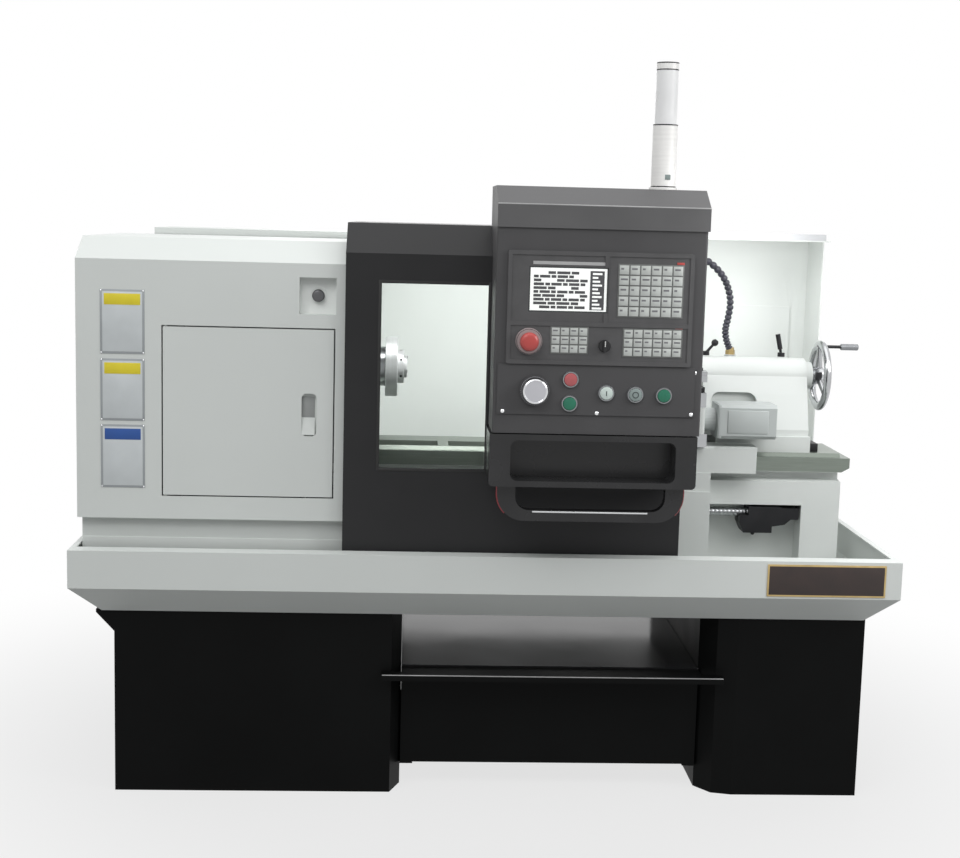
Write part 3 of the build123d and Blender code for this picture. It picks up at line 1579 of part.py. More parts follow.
# Apron: housing hung in front of the saddle, with the nut of the ballscrew behind it
apron_x = (saddle_x[0] + apron_inset, saddle_x[0] + apron_inset + apron_length)
apron_y = (bed_front_y - apron_thickness - running_gap, bed_front_y - running_gap)
apron_top_z = neck_top_z
apron_bottom_z = bed_top_z - apron_drop
with BuildPart() as apron:
    span_box(apron_x, apron_y, (apron_bottom_z, apron_top_z))
    span_box(
        (apron_x[0] - overrun, apron_x[1] + overrun),
        (apron_y[0] - overrun, apron_y[0] + apron_step_depth),
        (apron_top_z - apron_step, apron_top_z + overrun),
        mode=Mode.SUBTRACT,
    )
    nut_x = ((apron_x[0] + apron_x[1]) / 2 - nut_block[0] / 2, (apron_x[0] + apron_x[1]) / 2 + nut_block[0] / 2)
    span_box(
        nut_x,
        (apron_y[1], screw_y + nut_block[1] / 2),
        (screw_z - nut_block[1] / 2, screw_z + nut_block[1] / 2),
    )
    rod((nut_x[0] - overrun, screw_y, screw_z), (1, 0, 0), screw_radius + running_gap, nut_block[0] + 2 * overrun,
        mode=Mode.SUBTRACT)
finish(apron, "apron")


def servo_motor(start, direction, size, length, flange):
    """A square servo motor that leaves a mounting face in a direction."""
    with Locations(Plane(origin=start, x_dir=(0, 0, 1), z_dir=direction)):
        Box(size, size, flange, align=(Align.CENTER, Align.CENTER, Align.MIN))
        Box(
            size - 2 * servo_edge,
            size - 2 * servo_edge,
            flange + length,
            align=(Align.CENTER, Align.CENTER, Align.MIN),
        )


# Servo motor of the cross slide, on the back of the saddle
with BuildPart() as x_servo_motor:
    servo_motor(
        (slide_middle_x, saddle_y[1], saddle_top_z - servo_size / 2 - running_gap),
        (0, 1, 0),
        servo_size,
        servo_length,
        servo_flange,
    )
finish(x_servo_motor, "x_servo_motor")

# Ballscrew: plain shaft of the screw's outer diameter, from the servo motor to the right-hand bracket
bracket_right_x = recess_right_x - bracket_right_gap
screw_x = (cover_right_x + running_gap, bracket_right_x - running_gap)
with BuildPart() as z_ballscrew:
    rod((screw_x[0], screw_y, screw_z), (1, 0, 0), screw_radius, screw_x[1] - screw_x[0])
finish(z_ballscrew, "z_ballscrew")

# Bearing bracket at the screw's right end: stepped casting bolted to the back of the recess
with BuildPart() as screw_bracket:
    with BuildSketch(front_plane(bed_front_y + recess_depth)):
        with BuildLine():
            Polyline(*[(bracket_right_x + along, screw_z + up) for along, up in bracket_offsets], close=True)
        make_face()
    extrude(amount=bed_front_y + recess_depth - screw_y + bracket_reach)
    rod((bracket_right_x + overrun, screw_y, screw_z), (-1, 0, 0), screw_radius + shaft_gap,
        screw_x[1] - screw_x[0], mode=Mode.SUBTRACT)
finish(screw_bracket, "screw_bracket")

# Servo motor of the carriage, in the bed's pocket behind the plinth
with BuildPart() as z_servo_motor:
    servo_motor((cover_right_x, screw_y, screw_z), (-1, 0, 0), servo_size, servo_length, servo_flange)
    span_box(
        (cover_right_x - servo_flange, cover_right_x),
        (screw_y, screw_y + servo_size / 2 + overrun),
        (screw_z - servo_size / 2, screw_z + servo_size / 2),
    )
finish(z_servo_motor, "z_servo_motor")

# Cross slide on the dovetail
slide_y = (saddle_y[0] - slide_front_inset, saddle_y[0] - slide_front_inset + slide_length)
slide_z = (saddle_top_z + running_gap, saddle_top_z + slide_height)
with BuildPart() as cross_slide:
    span_box(slide_x, slide_y, slide_z)
    with BuildSketch(front_plane(slide_y[1] + overrun)):
        with BuildLine():
            Polyline(*dovetail(running_gap), close=True)
        make_face()
    extrude(amount=slide_length + 2 * overrun, mode=Mode.SUBTRACT)
finish(cross_slide, "cross_slide")

# Turret base on the cross slide
turret_x = slide_middle_x
turret_y = slide_y[0] + turret_base_size[1] / 2
turret_z = slide_z[1] + turret_base_size[2]
with BuildPart() as turret_base:
    span_box(
        (turret_x - turret_base_size[0] / 2, turret_x + turret_base_size[0] / 2),
        (turret_y - turret_base_size[1] / 2, turret_y + turret_base_size[1] / 2),
        (slide_z[1], turret_z),
    )
    fillet(turret_base.edges().filter_by(Axis.Z), saddle_edge * 2)
finish(turret_base, "turret_base")

# Turret motor: bevelled housing on a neck at the right of the base
turret_motor_x = turret_x + turret_base_size[0] / 2 + turret_motor_neck
turret_motor_y = turret_y - turret_base_size[1] / 2 + turret_motor_size[1] / 2
turret_motor_z = turret_z + turret_motor_size[2] - turret_motor_drop - turret_motor_size[2] / 2
with BuildPart() as turret_motor:
    span_box(
        (turret_motor_x, turret_motor_x + turret_motor_size[0]),
        (turret_motor_y - turret_motor_size[1] / 2, turret_motor_y + turret_motor_size[1] / 2),
        (turret_motor_z - turret_motor_size[2] / 2, turret_motor_z + turret_motor_size[2] / 2),
    )
    chamfer(turret_motor.edges().filter_by(Axis.X), turret_motor_edge)
    faceted(
        (turret_x + turret_base_size[0] / 2, turret_motor_y, turret_motor_z),
        (1, 0, 0),
        ((0, turret_motor_neck_radius), (turret_motor_neck, turret_motor_neck_radius)),
        control_sides,
    )
finish(turret_motor, "turret_motor")

# Turret head: square block with a tool slot in each side and a round cap
head_z = turret_z + running_gap
with BuildPart() as turret_head:
    half_head = turret_head_size / 2
    span_box(
        (turret_x - half_head, turret_x + half_head),
        (turret_y - half_head, turret_y + half_head),
        (head_z, head_z + turret_head_height),
    )
    slot_z = (head_z + turret_slot_lift, head_z + turret_slot_lift + turret_slot_height)
    slot_in = half_head - turret_slot_depth
    for side in (-1, 1):
        slot_depth = sorted((side * slot_in, side * (half_head + overrun)))
        span_box(
            (turret_x + slot_depth[0], turret_x + slot_depth[1]),
            (turret_y - half_head - overrun, turret_y + half_head + overrun),
            slot_z,
            mode=Mode.SUBTRACT,
        )
        span_box(
            (turret_x - half_head - overrun, turret_x + half_head + overrun),
            (turret_y + slot_depth[0], turret_y + slot_depth[1]),
            slot_z,
            mode=Mode.SUBTRACT,
        )
    rod((turret_x, turret_y, head_z + turret_head_height), (0, 0, 1), turret_cap_radius, turret_cap_height)
finish(turret_head, "turret_head")

# Coolant riser: foot, pipe and valve block on the saddle's rear wing
riser_place = (saddle_x[1] - riser_inset[0], saddle_y[1] - riser_inset[1])
riser_top_z = saddle_top_z + riser_height
with BuildPart() as coolant_riser:
    with BuildSketch(Plane.XY.offset(saddle_top_z)):
        with Locations((saddle_x[1] - riser_foot / 2, riser_place[1])):
            Rectangle(riser_foot, riser_foot * riser_foot_share)
    extrude(amount=riser_foot_height)
    rod((riser_place[0], riser_place[1], saddle_top_z), (0, 0, 1), riser_radius, riser_height)
    with BuildSketch(Plane.XY.offset(riser_top_z - riser_valve)):
        with Locations(riser_place):
            RegularPolygon(riser_valve / 2, 6)
    extrude(amount=riser_valve)
finish(coolant_riser, "coolant_riser")

# Coolant hose: jointed hose that arches over the tailstock, and its nozzle
hose_start = Vector(riser_place[0], riser_place[1], riser_top_z)
hose_route = [hose_start + Vector(*offset) for offset in hose_offsets]
hose_end_run = (hose_route[-1] - hose_route[-2]).normalized()
with BuildPart() as coolant_hose:
    with BuildLine() as hose_line:
        Polyline(*hose_route)
    with BuildSketch(Plane(origin=hose_route[0], z_dir=hose_route[1] - hose_route[0])):
        RegularPolygon(hose_radius, hose_sides)
    sweep(path=hose_line.wires()[0], transition=Transition.RIGHT)
    faceted(
        hose_route[-1],
        hose_end_run,
        (
            (0, nozzle_radius),
            (nozzle_length * nozzle_collar_share, nozzle_radius),
            (nozzle_length, nozzle_tip_radius),
        ),
        hose_sides,
    )
finish(coolant_hose, "coolant_hose")

# Tailstock: base between the saddle's wings, and a column that narrows up to the barrel
tailstock_x = (bed_right_x - tailstock_right_gap - tailstock_length, bed_right_x - tailstock_right_gap)
tailstock_base_z = (bed_top_z + running_gap, bed_top_z + tailstock_base_height)
base_half = tailstock_base_width / 2
lock_x = tailstock_x[1] - lock_right_inset
clamp_x = tailstock_x[0] + clamp_left_inset
lever_z = axis_z + barrel_radius + lever_boss
with BuildPart() as tailstock_body:
    neck_half = tailstock_neck_width / 2
    span_box(
        (tailstock_x[0] + tailstock_base_inset, tailstock_x[1] + tailstock_base_margin),
        (axis_y - base_half, axis_y + base_half),
        tailstock_base_z,
    )
    stop_x = tailstock_x[1] + tailstock_base_margin
    span_box(
        (stop_x, stop_x + stop_size[0]),
        (axis_y - stop_size[1] / 2, axis_y + stop_size[1] / 2),
        (tailstock_base_z[0], tailstock_base_z[0] + stop_size[2]),
    )
    side_section(
        (
            (ridge_y - ridge_room, bed_top_z),
            (ridge_y - ridge_room, bed_top_z + running_gap),
            (ridge_y + ridge_width / 2, bed_top_z + ridge_height + 2 * ridge_room),
            (ridge_y + ridge_width + ridge_room, bed_top_z + running_gap),
            (ridge_y + ridge_width + ridge_room, bed_top_z),
        ),
        tailstock_x[0],
        stop_x + stop_size[0] - tailstock_x[0] + overrun,
        mode=Mode.SUBTRACT,
    )
    side_section(
        (
            (axis_y - base_half + tailstock_edge, tailstock_base_z[1]),
            (axis_y + base_half - tailstock_edge, tailstock_base_z[1]),
            (axis_y + base_half - tailstock_edge, tailstock_base_z[1] + tailstock_edge * 2),
            (axis_y + neck_half, axis_z - barrel_radius),
            (axis_y + barrel_radius, axis_z),
            (axis_y - barrel_radius, axis_z),
            (axis_y - neck_half, axis_z - barrel_radius),
            (axis_y - base_half + tailstock_edge, tailstock_base_z[1] + tailstock_edge * 2),
        ),
        tailstock_x[0],
        tailstock_length,
    )
    rod((tailstock_x[0], axis_y, axis_z), (1, 0, 0), barrel_radius, tailstock_length)
    with BuildSketch(front_plane(axis_y - base_half - overrun)):
        with Locations((tailstock_x[0] + arch_left_inset, tailstock_base_z[1] + arch_lift)):
            RectangleRounded(arch_width, arch_height, arch_corner, align=(Align.MIN, Align.MIN))
    extrude(amount=-(base_half + overrun - neck_half + arch_depth), mode=Mode.SUBTRACT)
    rod((tailstock_x[0] - overrun, axis_y, axis_z), (1, 0, 0), quill_radius + shaft_gap,
        tailstock_length + overrun - collar_length, mode=Mode.SUBTRACT)
    rod((tailstock_x[1] - collar_length - overrun, axis_y, axis_z), (1, 0, 0), stud_radius + shaft_gap,
        collar_length + 2 * overrun, mode=Mode.SUBTRACT)
    for boss_x in (lock_x, clamp_x):
        span_box(
            (boss_x - lever_hub_radius - lever_boss, boss_x + lever_hub_radius + lever_boss),
            (axis_y - lever_hub_radius - lever_boss, axis_y + lever_hub_radius + lever_boss),
            (axis_z + quill_radius + lever_boss, lever_z),
        )
        rod((boss_x, axis_y, lever_z + overrun), (0, 0, -1), lever_pin_radius + shaft_gap,
            lever_pin_reach + overrun + running_gap, mode=Mode.SUBTRACT)
    collar_start = (tailstock_x[1], axis_y, axis_z)
    rod(collar_start, (1, 0, 0), collar_radius, collar_length)
    rod(collar_start, (1, 0, 0), stud_radius + shaft_gap, collar_length + overrun, mode=Mode.SUBTRACT)
finish(tailstock_body, "tailstock_body")

# Quill: sleeve that slides in the barrel, with a dead centre in its mouth and a bore behind for the screw
quill_length = tailstock_length - collar_length + quill_reach - overrun
quill_end_x = tailstock_x[0] - quill_reach
with BuildPart() as quill:
    rod((quill_end_x, axis_y, axis_z), (1, 0, 0), quill_radius, quill_length)
    faceted(
        (quill_end_x - centre_reach, axis_y, axis_z),
        (1, 0, 0),
        [(centre_reach * along, centre_radius * out) for along, out in centre_shares],
        control_sides,
    )
    rod((quill_end_x + centre_shank + overrun, axis_y, axis_z), (1, 0, 0), stud_radius + running_gap, quill_length,
        mode=Mode.SUBTRACT)
finish(quill, "quill")

# Handwheel: flat rim, spokes, hub and the screw that runs into the quill
wheel_start_x = tailstock_x[1] + collar_length + running_gap
wheel_face_x = wheel_start_x + wheel_hub_length
wheel_back_x = wheel_face_x - wheel_rim_depth
crank_z = axis_z + wheel_radius * crank_share
with BuildPart() as tailstock_handwheel:
    hub_start = (wheel_start_x, axis_y, axis_z)
    faceted(hub_start, (1, 0, 0), ((0, wheel_hub_radius), (wheel_hub_length, wheel_hub_radius)), control_sides)
    with BuildSketch(Plane.YZ.offset(wheel_back_x)):
        with Locations((axis_y, axis_z)):
            RegularPolygon(wheel_radius, wheel_sides)
            RegularPolygon(wheel_radius - wheel_rim, wheel_sides, mode=Mode.SUBTRACT)
    extrude(amount=wheel_rim_depth)
    with Locations(Plane(origin=(wheel_back_x, axis_y, axis_z), x_dir=(0, 0, 1), z_dir=(1, 0, 0))):
        with PolarLocations(0, wheel_spokes):
            Box(
                wheel_radius - wheel_rim / 2,
                spoke_width,
                spoke_thickness,
                align=(Align.MIN, Align.CENTER, Align.MIN),
            )
    screw_start_x = quill_end_x + centre_shank + 2 * overrun + quill_reach
    rod((screw_start_x, axis_y, axis_z), (1, 0, 0), stud_radius, wheel_start_x - screw_start_x)
    rod((wheel_back_x, axis_y, crank_z), (1, 0, 0), crank_pin_radius, wheel_rim_depth + crank_reach + crank_length)
finish(tailstock_handwheel, "tailstock_handwheel")

# Crank grip: sleeve that turns freely on the end of the handwheel's pin
with BuildPart() as crank_grip:
    grip_start = (wheel_face_x + crank_reach, axis_y, crank_z)
    faceted(grip_start, (1, 0, 0), ((0, crank_radius), (crank_length, crank_radius)), control_sides)
    rod(grip_start, (1, 0, 0), crank_pin_radius + shaft_gap, crank_length, mode=Mode.SUBTRACT)
finish(crank_grip, "crank_grip")

# Quill lock lever: hub on top of the barrel and an upright rod with a sleeve grip
hub_z = lever_z + running_gap
rod_z = hub_z + lever_hub_length / 2
lock_lean = Vector(0, 0, 1).rotate(Axis.Y, lock_tilt)
with BuildPart() as quill_lock_lever:
    faceted(
        (lock_x, axis_y, hub_z),
        (0, 0, 1),
        ((0, lever_hub_radius), (lever_hub_length, lever_hub_radius)),
        lever_sides,
    )
    faceted((lock_x, axis_y, hub_z), (0, 0, -1), ((0, lever_pin_radius), (lever_pin_reach, lever_pin_radius)), lever_sides)
    faceted(
        (lock_x, axis_y, rod_z),
        lock_lean,
        ((0, lever_radius), (lock_length - lock_grip, lever_radius)),
        lever_sides,
    )
    faceted(
        (lock_x, axis_y, rod_z),
        lock_lean,
        ((lock_length - lock_grip, lever_grip_radius), (lock_length, lever_grip_radius)),
        lever_sides,
    )
finish(quill_lock_lever, "quill_lock_lever")

# Tailstock clamp lever: hub at the barrel's left end and a leaning rod with a ball
clamp_lean = Vector(0, 0, 1).rotate(Axis.Y, clamp_tilt)
with BuildPart() as tailstock_clamp_lever:
    faceted(
        (clamp_x, axis_y, hub_z),
        (0, 0, 1),
        ((0, lever_hub_radius), (lever_hub_length, lever_hub_radius)),
        lever_sides,
    )
    faceted((clamp_x, axis_y, hub_z), (0, 0, -1), ((0, lever_pin_radius), (lever_pin_reach, lever_pin_radius)), lever_sides)
    faceted((clamp_x, axis_y, rod_z), clamp_lean, ((0, lever_radius), (clamp_length, lever_radius)), lever_sides)
    faceted(
        (clamp_x, axis_y, rod_z),
        clamp_lean,
        [(clamp_length + ball_radius * along, ball_radius * out) for along, out in ball_shares],
        lever_sides,
    )
finish(tailstock_clamp_lever, "tailstock_clamp_lever")
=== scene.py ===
import json
import math

import bmesh
import bpy
from mathutils import Matrix, Vector


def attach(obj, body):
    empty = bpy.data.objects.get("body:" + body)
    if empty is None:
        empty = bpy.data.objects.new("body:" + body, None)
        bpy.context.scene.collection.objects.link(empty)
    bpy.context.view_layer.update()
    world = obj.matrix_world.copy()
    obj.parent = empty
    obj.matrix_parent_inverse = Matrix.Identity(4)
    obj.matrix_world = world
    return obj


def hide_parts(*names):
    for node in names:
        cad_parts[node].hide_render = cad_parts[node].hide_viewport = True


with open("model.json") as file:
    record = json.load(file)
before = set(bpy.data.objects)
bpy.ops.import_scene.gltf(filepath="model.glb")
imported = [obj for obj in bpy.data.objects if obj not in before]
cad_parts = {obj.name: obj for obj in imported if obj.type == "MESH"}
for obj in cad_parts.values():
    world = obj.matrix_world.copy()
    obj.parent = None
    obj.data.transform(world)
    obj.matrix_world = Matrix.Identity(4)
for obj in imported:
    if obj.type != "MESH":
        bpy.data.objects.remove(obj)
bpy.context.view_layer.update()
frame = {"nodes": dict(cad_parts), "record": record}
nodes = frame["nodes"]

# Lengths below are millimetres in the row frame; MM brings them to metres.
MM = 0.001


def extent(node):
    """The low and the high corner of a node."""
    corners = [nodes[node].matrix_world @ Vector(corner) / MM for corner in nodes[node].bound_box]
    return [Vector([pick(c[axis] for c in corners) for axis in range(3)]) for pick in (min, max)]


# Materials: the colour and the gloss follow the middle part of a noise
NOISE_LOW, NOISE_HIGH, BUMP_DEPTH = 0.3, 0.7, 0.0002
GRAIN_SCALE, GRAIN_STRETCH, GRAIN_DARK, GRAIN_LIGHT = 30.0, (0.6, 40.0, 40.0), 0.75, 1.2


def colour_at(colour, share):
    return tuple(min(1.0, max(0.0, c * share)) for c in colour) + (1.0,)


def surface(name, colour, spread=0.05, rough=0.4, rough_spread=0.06, metal=0.0, scale=6.0, stretch=(1, 1, 1),
            bump=0.0, bump_scale=900.0, specular=0.5):
    """A procedural finish: the colour and the gloss drift with noise, and a fine bump gives the skin."""
    mat = bpy.data.materials.new(name)
    mat.use_nodes = True
    tree = mat.node_tree
    new, link = tree.nodes.new, tree.links.new
    shader = tree.nodes["Principled BSDF"]
    shader.inputs["Metallic"].default_value = metal
    shader.inputs["Specular IOR Level"].default_value = specular
    place = new("ShaderNodeTexCoord")
    mapping = new("ShaderNodeMapping")
    mapping.inputs["Scale"].default_value = stretch
    link(place.outputs["Object"], mapping.inputs["Vector"])
    noise = new("ShaderNodeTexNoise")
    noise.inputs["Scale"].default_value = scale
    noise.inputs["Detail"].default_value = 5.0
    link(mapping.outputs["Vector"], noise.inputs["Vector"])
    ramp = new("ShaderNodeValToRGB")
    ramp.color_ramp.elements[0].position = NOISE_LOW
    ramp.color_ramp.elements[1].position = NOISE_HIGH
    ramp.color_ramp.elements[0].color = colour_at(colour, 1 - spread)
    ramp.color_ramp.elements[1].color = colour_at(colour, 1 + spread)
    link(noise.outputs["Fac"], ramp.inputs["Fac"])
    link(ramp.outputs["Color"], shader.inputs["Base Color"])
    gloss = new("ShaderNodeMapRange")
    gloss.inputs["From Min"].default_value = NOISE_LOW
    gloss.inputs["From Max"].default_value = NOISE_HIGH
    gloss.inputs["To Min"].default_value = rough - rough_spread
    gloss.inputs["To Max"].default_value = rough + rough_spread
    link(noise.outputs["Fac"], gloss.inputs["Value"])
    link(gloss.outputs["Result"], shader.inputs["Roughness"])
    if bump:
        skin = new("ShaderNodeTexNoise")
        skin.inputs["Scale"].default_value = bump_scale
        skin.inputs["Detail"].default_value = 2.0
        link(mapping.outputs["Vector"], skin.inputs["Vector"])
        relief = new("ShaderNodeBump")
        relief.inputs["Strength"].default_value = bump
        relief.inputs["Distance"].default_value = BUMP_DEPTH
        link(skin.outputs["Fac"], relief.inputs["Height"])
        link(relief.outputs["Normal"], shader.inputs["Normal"])
    return mat


def banded(name, low_colour, high_colour, axis, edge, soft, low_metal, high_metal, low_rough, high_rough):
    """Two finishes on one casting, parted at a level: paint below and ground metal above."""
    mat = surface(name, low_colour, spread=0.03, rough=low_rough, bump=0.15, bump_scale=500)
    tree = mat.node_tree
    new, link = tree.nodes.new, tree.links.new
    shader = tree.nodes["Principled BSDF"]
    place = next(n for n in tree.nodes if n.type == "TEX_COORD")
    parts = new("ShaderNodeSeparateXYZ")
    link(place.outputs["Object"], parts.inputs["Vector"])
    mask = new("ShaderNodeMapRange")
    mask.inputs["From Min"].default_value = edge - soft
    mask.inputs["From Max"].default_value = edge + soft
    link(parts.outputs[axis], mask.inputs["Value"])
    grain = new("ShaderNodeTexNoise")
    grain.inputs["Scale"].default_value = GRAIN_SCALE
    stretch = new("ShaderNodeMapping")
    stretch.inputs["Scale"].default_value = GRAIN_STRETCH
    link(place.outputs["Object"], stretch.inputs["Vector"])
    link(stretch.outputs["Vector"], grain.inputs["Vector"])
    metal_ramp = new("ShaderNodeValToRGB")
    metal_ramp.color_ramp.elements[0].color = colour_at(high_colour, GRAIN_DARK)
    metal_ramp.color_ramp.elements[1].color = colour_at(high_colour, GRAIN_LIGHT)
    link(grain.outputs["Fac"], metal_ramp.inputs["Fac"])
    mix = new("ShaderNodeMix")
    mix.data_type = "RGBA"
    old = shader.inputs["Base Color"].links[0].from_socket
    link(mask.outputs["Result"], mix.inputs["Factor"])
    # 6, 7 and 2 are the colour sockets of the mix node
    link(old, mix.inputs[6])
    link(metal_ramp.outputs["Color"], mix.inputs[7])
    link(mix.outputs[2], shader.inputs["Base Color"])
    for socket, low, high in (("Metallic", low_metal, high_metal), ("Roughness", low_rough, high_rough)):
        level = new("ShaderNodeMapRange")
        level.inputs["To Min"].default_value = low
        level.inputs["To Max"].default_value = high
        link(mask.outputs["Result"], level.inputs["Value"])
        link(level.outputs["Result"], shader.inputs[socket])
    return mat


WHITE = (0.66, 0.685, 0.665)
STEEL = (0.43, 0.44, 0.45)
materials = {
    "white_paint": surface("white_enamel", WHITE, 0.02, 0.42, 0.05, scale=3, bump=0.1, bump_scale=420,
                           specular=0.3),
    "black_paint": surface("black_enamel", (0.0032, 0.0034, 0.0034), 0.25, 0.45, 0.06, scale=5, bump=0.2,
                           bump_scale=700, specular=0.07),
    "grey_paint": surface("grey_powder_coat", (0.070, 0.069, 0.071), 0.08, 0.5, 0.05, scale=8, bump=0.3,
                          bump_scale=1400, specular=0.25),
    "machined_steel": surface("machined_steel", STEEL, 0.06, 0.30, 0.03, metal=1.0, scale=5,
                              stretch=(1, 8, 8)),
    "dark_steel": surface("blackened_steel", (0.022, 0.022, 0.024), 0.2, 0.42, 0.08, metal=0.3, scale=20,
                          specular=0.3),
    "chromed_steel": surface("chromed_steel", (0.74, 0.75, 0.76), 0.05, 0.12, 0.04, metal=1.0, scale=10),
    "alloy": surface("satin_alloy", (0.62, 0.63, 0.64), 0.06, 0.34, 0.06, metal=1.0, scale=14,
                     stretch=(1, 1, 18)),
    "motor_housing": surface("motor_enamel", (0.035, 0.04, 0.05), 0.12, 0.4, 0.08, scale=12, bump=0.2),
    "belt_rubber": surface("belt_rubber", (0.018, 0.018, 0.018), 0.2, 0.75, 0.05, scale=30, bump=0.3),
    "lamp_plastic": surface("lamp_plastic", (0.72, 0.73, 0.73), 0.03, 0.3, 0.03, scale=20),
    "screen": surface("display_glass", (0.035, 0.04, 0.04), 0.1, 0.12, 0.02, scale=12),
    "unit_plastic": surface("unit_plastic", (0.084, 0.083, 0.085), 0.08, 0.45, 0.05, scale=30, bump=0.3,
                            bump_scale=1800, specular=0.3),
    "key_film": surface("key_film", (0.13, 0.135, 0.13), 0.1, 0.42, 0.05, scale=60),
    "handle_plastic": surface("handle_plastic", (0.020, 0.020, 0.021), 0.2, 0.26, 0.05, scale=12,
                              specular=0.35),
    "red_plastic": surface("red_plastic", (0.47, 0.065, 0.058), 0.06, 0.3, 0.04, scale=30),
    "green_plastic": surface("green_plastic", (0.010, 0.15, 0.085), 0.08, 0.28, 0.04, scale=30),
    "white_plastic": surface("white_plastic", (0.60, 0.68, 0.64), 0.04, 0.28, 0.04, scale=30),
    "grey_plastic": surface("grey_plastic", (0.24, 0.29, 0.28), 0.06, 0.3, 0.04, scale=30),
    "hose_plastic": surface("hose_plastic", (0.045, 0.045, 0.062), 0.15, 0.35, 0.05, scale=30),
    "equipment": surface("module_plastic", (0.42, 0.43, 0.43), 0.06, 0.5, 0.05, scale=10),
}
pane = surface("safety_pane", (0.96, 0.98, 0.97), 0.01, 0.03, 0.01, scale=5, specular=0.2)
pane.node_tree.nodes["Principled BSDF"].inputs["Transmission Weight"].default_value = 1.0
pane.node_tree.nodes["Principled BSDF"].inputs["IOR"].default_value = 1.03
materials["pane"] = pane
guard_enamel = surface("guard_enamel", (0.024, 0.024, 0.025), 0.12, 0.42, 0.05, scale=4, bump=0.2,
                       bump_scale=900, specular=0.18)
# The visor takes a lighter copy of the pod's grey powder coat: painted light on the top of the pod
visor_painted_light = surface("visor_painted_light_coat", (0.108, 0.107, 0.109), 0.08, 0.46, 0.05, scale=8, bump=0.3,
                      bump_scale=1400, specular=0.3)
chuck_steel = surface("chuck_steel", (0.56, 0.57, 0.57), 0.06, 0.42, 0.06, metal=0.6, scale=9,
                      stretch=(24, 1, 1))
lid_gloss = surface("lid_gloss", (0.012, 0.012, 0.013), 0.2, 0.16, 0.04, scale=5, specular=0.5)
motor_grey = surface("turret_motor_grey", (0.46, 0.49, 0.48), 0.04, 0.4, 0.05, scale=12, bump=0.2)

slot_of = {row["node"]: row["material_slot"] for row in frame["record"]["subparts"]}
for node, obj in nodes.items():
    obj.data.materials.clear()
    obj.data.materials.append(materials[slot_of[node]])

# The bed is painted up to the foot of its guideways and ground above it
WAY_BOTTOM, WAY_SOFT = 739.5 * MM, 0.0006
ways = banded("enamel_and_ground_ways", WHITE, (0.20, 0.228, 0.198), "Z", WAY_BOTTOM, WAY_SOFT,
              low_metal=0.0, high_metal=0.45, low_rough=0.4, high_rough=0.36)
for node, material in (("bed", ways), ("guard_shell", guard_enamel), ("tank_lid", lid_gloss),
                       ("turret_motor", motor_grey), ("pod_visor", visor_painted_light)):
    nodes[node].data.materials[0] = material


# Mesh helpers, all in millimetres
def box(bm, low, high, bevel=0.0):
    made = bmesh.ops.create_cube(bm, size=1.0)
    size = [h - l for l, h in zip(low, high)]
    middle = [(l + h) / 2 for l, h in zip(low, high)]
    bmesh.ops.scale(bm, vec=size, verts=made["verts"])
    bmesh.ops.translate(bm, vec=middle, verts=made["verts"])
    if bevel:
        edges = {e for v in made["verts"] for e in v.link_edges}
        bmesh.ops.bevel(bm, geom=list(edges), offset=bevel, segments=2, affect="EDGES", profile=0.5)


def rod(bm, start, end, radius, end_radius=None, segments=24):
    """A round bar or cone between two points."""
    start, end = Vector(start), Vector(end)
    run = end - start
    turn = run.to_track_quat("Z", "Y").to_matrix().to_4x4()
    made = bmesh.ops.create_cone(
        bm,
        cap_ends=True,
        segments=segments,
        radius1=radius,
        radius2=radius if end_radius is None else end_radius,
        depth=run.length,
        matrix=Matrix.Translation((start + end) / 2) @ turn,
    )
    for face in {f for v in made["verts"] for f in v.link_faces}:
        face.smooth = len(face.verts) == 4


def lathe(bm, start, direction, profile, segments=32):
    """Rings of (distance along the axis, radius), joined into a closed turned form."""
    start, direction = Vector(start), Vector(direction).normalized()
    turn = direction.to_track_quat("Z", "Y").to_matrix()
    rings = []
    for along, radius in profile:
        if radius <= 0:
            rings.append([bm.verts.new(start + direction * along)])
            continue
        ring = []
        for k in range(segments):
            angle = 2 * math.pi * k / segments
            offset = turn @ Vector((radius * math.cos(angle), radius * math.sin(angle), 0))
            ring.append(bm.verts.new(start + direction * along + offset))
        rings.append(ring)
    for low, high in zip(rings, rings[1:]):
        for k in range(segments):
            n = (k + 1) % segments
            corners = []
            for ring, index in ((low, k), (low, n), (high, n), (high, k)):
                vert = ring[index % len(ring)]
                if vert not in corners:
                    corners.append(vert)
            if len(corners) > 2:
                bm.faces.new(corners).smooth = True


SHARP = math.radians(32)
ALONG_X, FRONT, UP = (1, 0, 0), (0, -1, 0), (0, 0, 1)


def piece(name, body, material, build, replaced=()):
    """A mesh in the row frame that rides on a body and takes the finish it is given."""
    bm = bmesh.new()
    build(bm)
    bmesh.ops.recalc_face_normals(bm, faces=bm.faces)
    bmesh.ops.scale(bm, vec=(MM, MM, MM), verts=bm.verts)
    mesh = bpy.data.meshes.new(name)
    bm.to_mesh(mesh)
    bm.free()
    mesh.set_sharp_from_angle(angle=SHARP)
    mesh.materials.append(material)
    obj = bpy.data.objects.new(name, mesh)
    bpy.context.scene.collection.objects.link(obj)
    if replaced:
        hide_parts(*replaced)
    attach(obj, body)


def plain(name, body, slot, build, replaced=()):
    """A piece with the common finish of its slot."""
    piece(name, body, materials[slot], build, replaced)


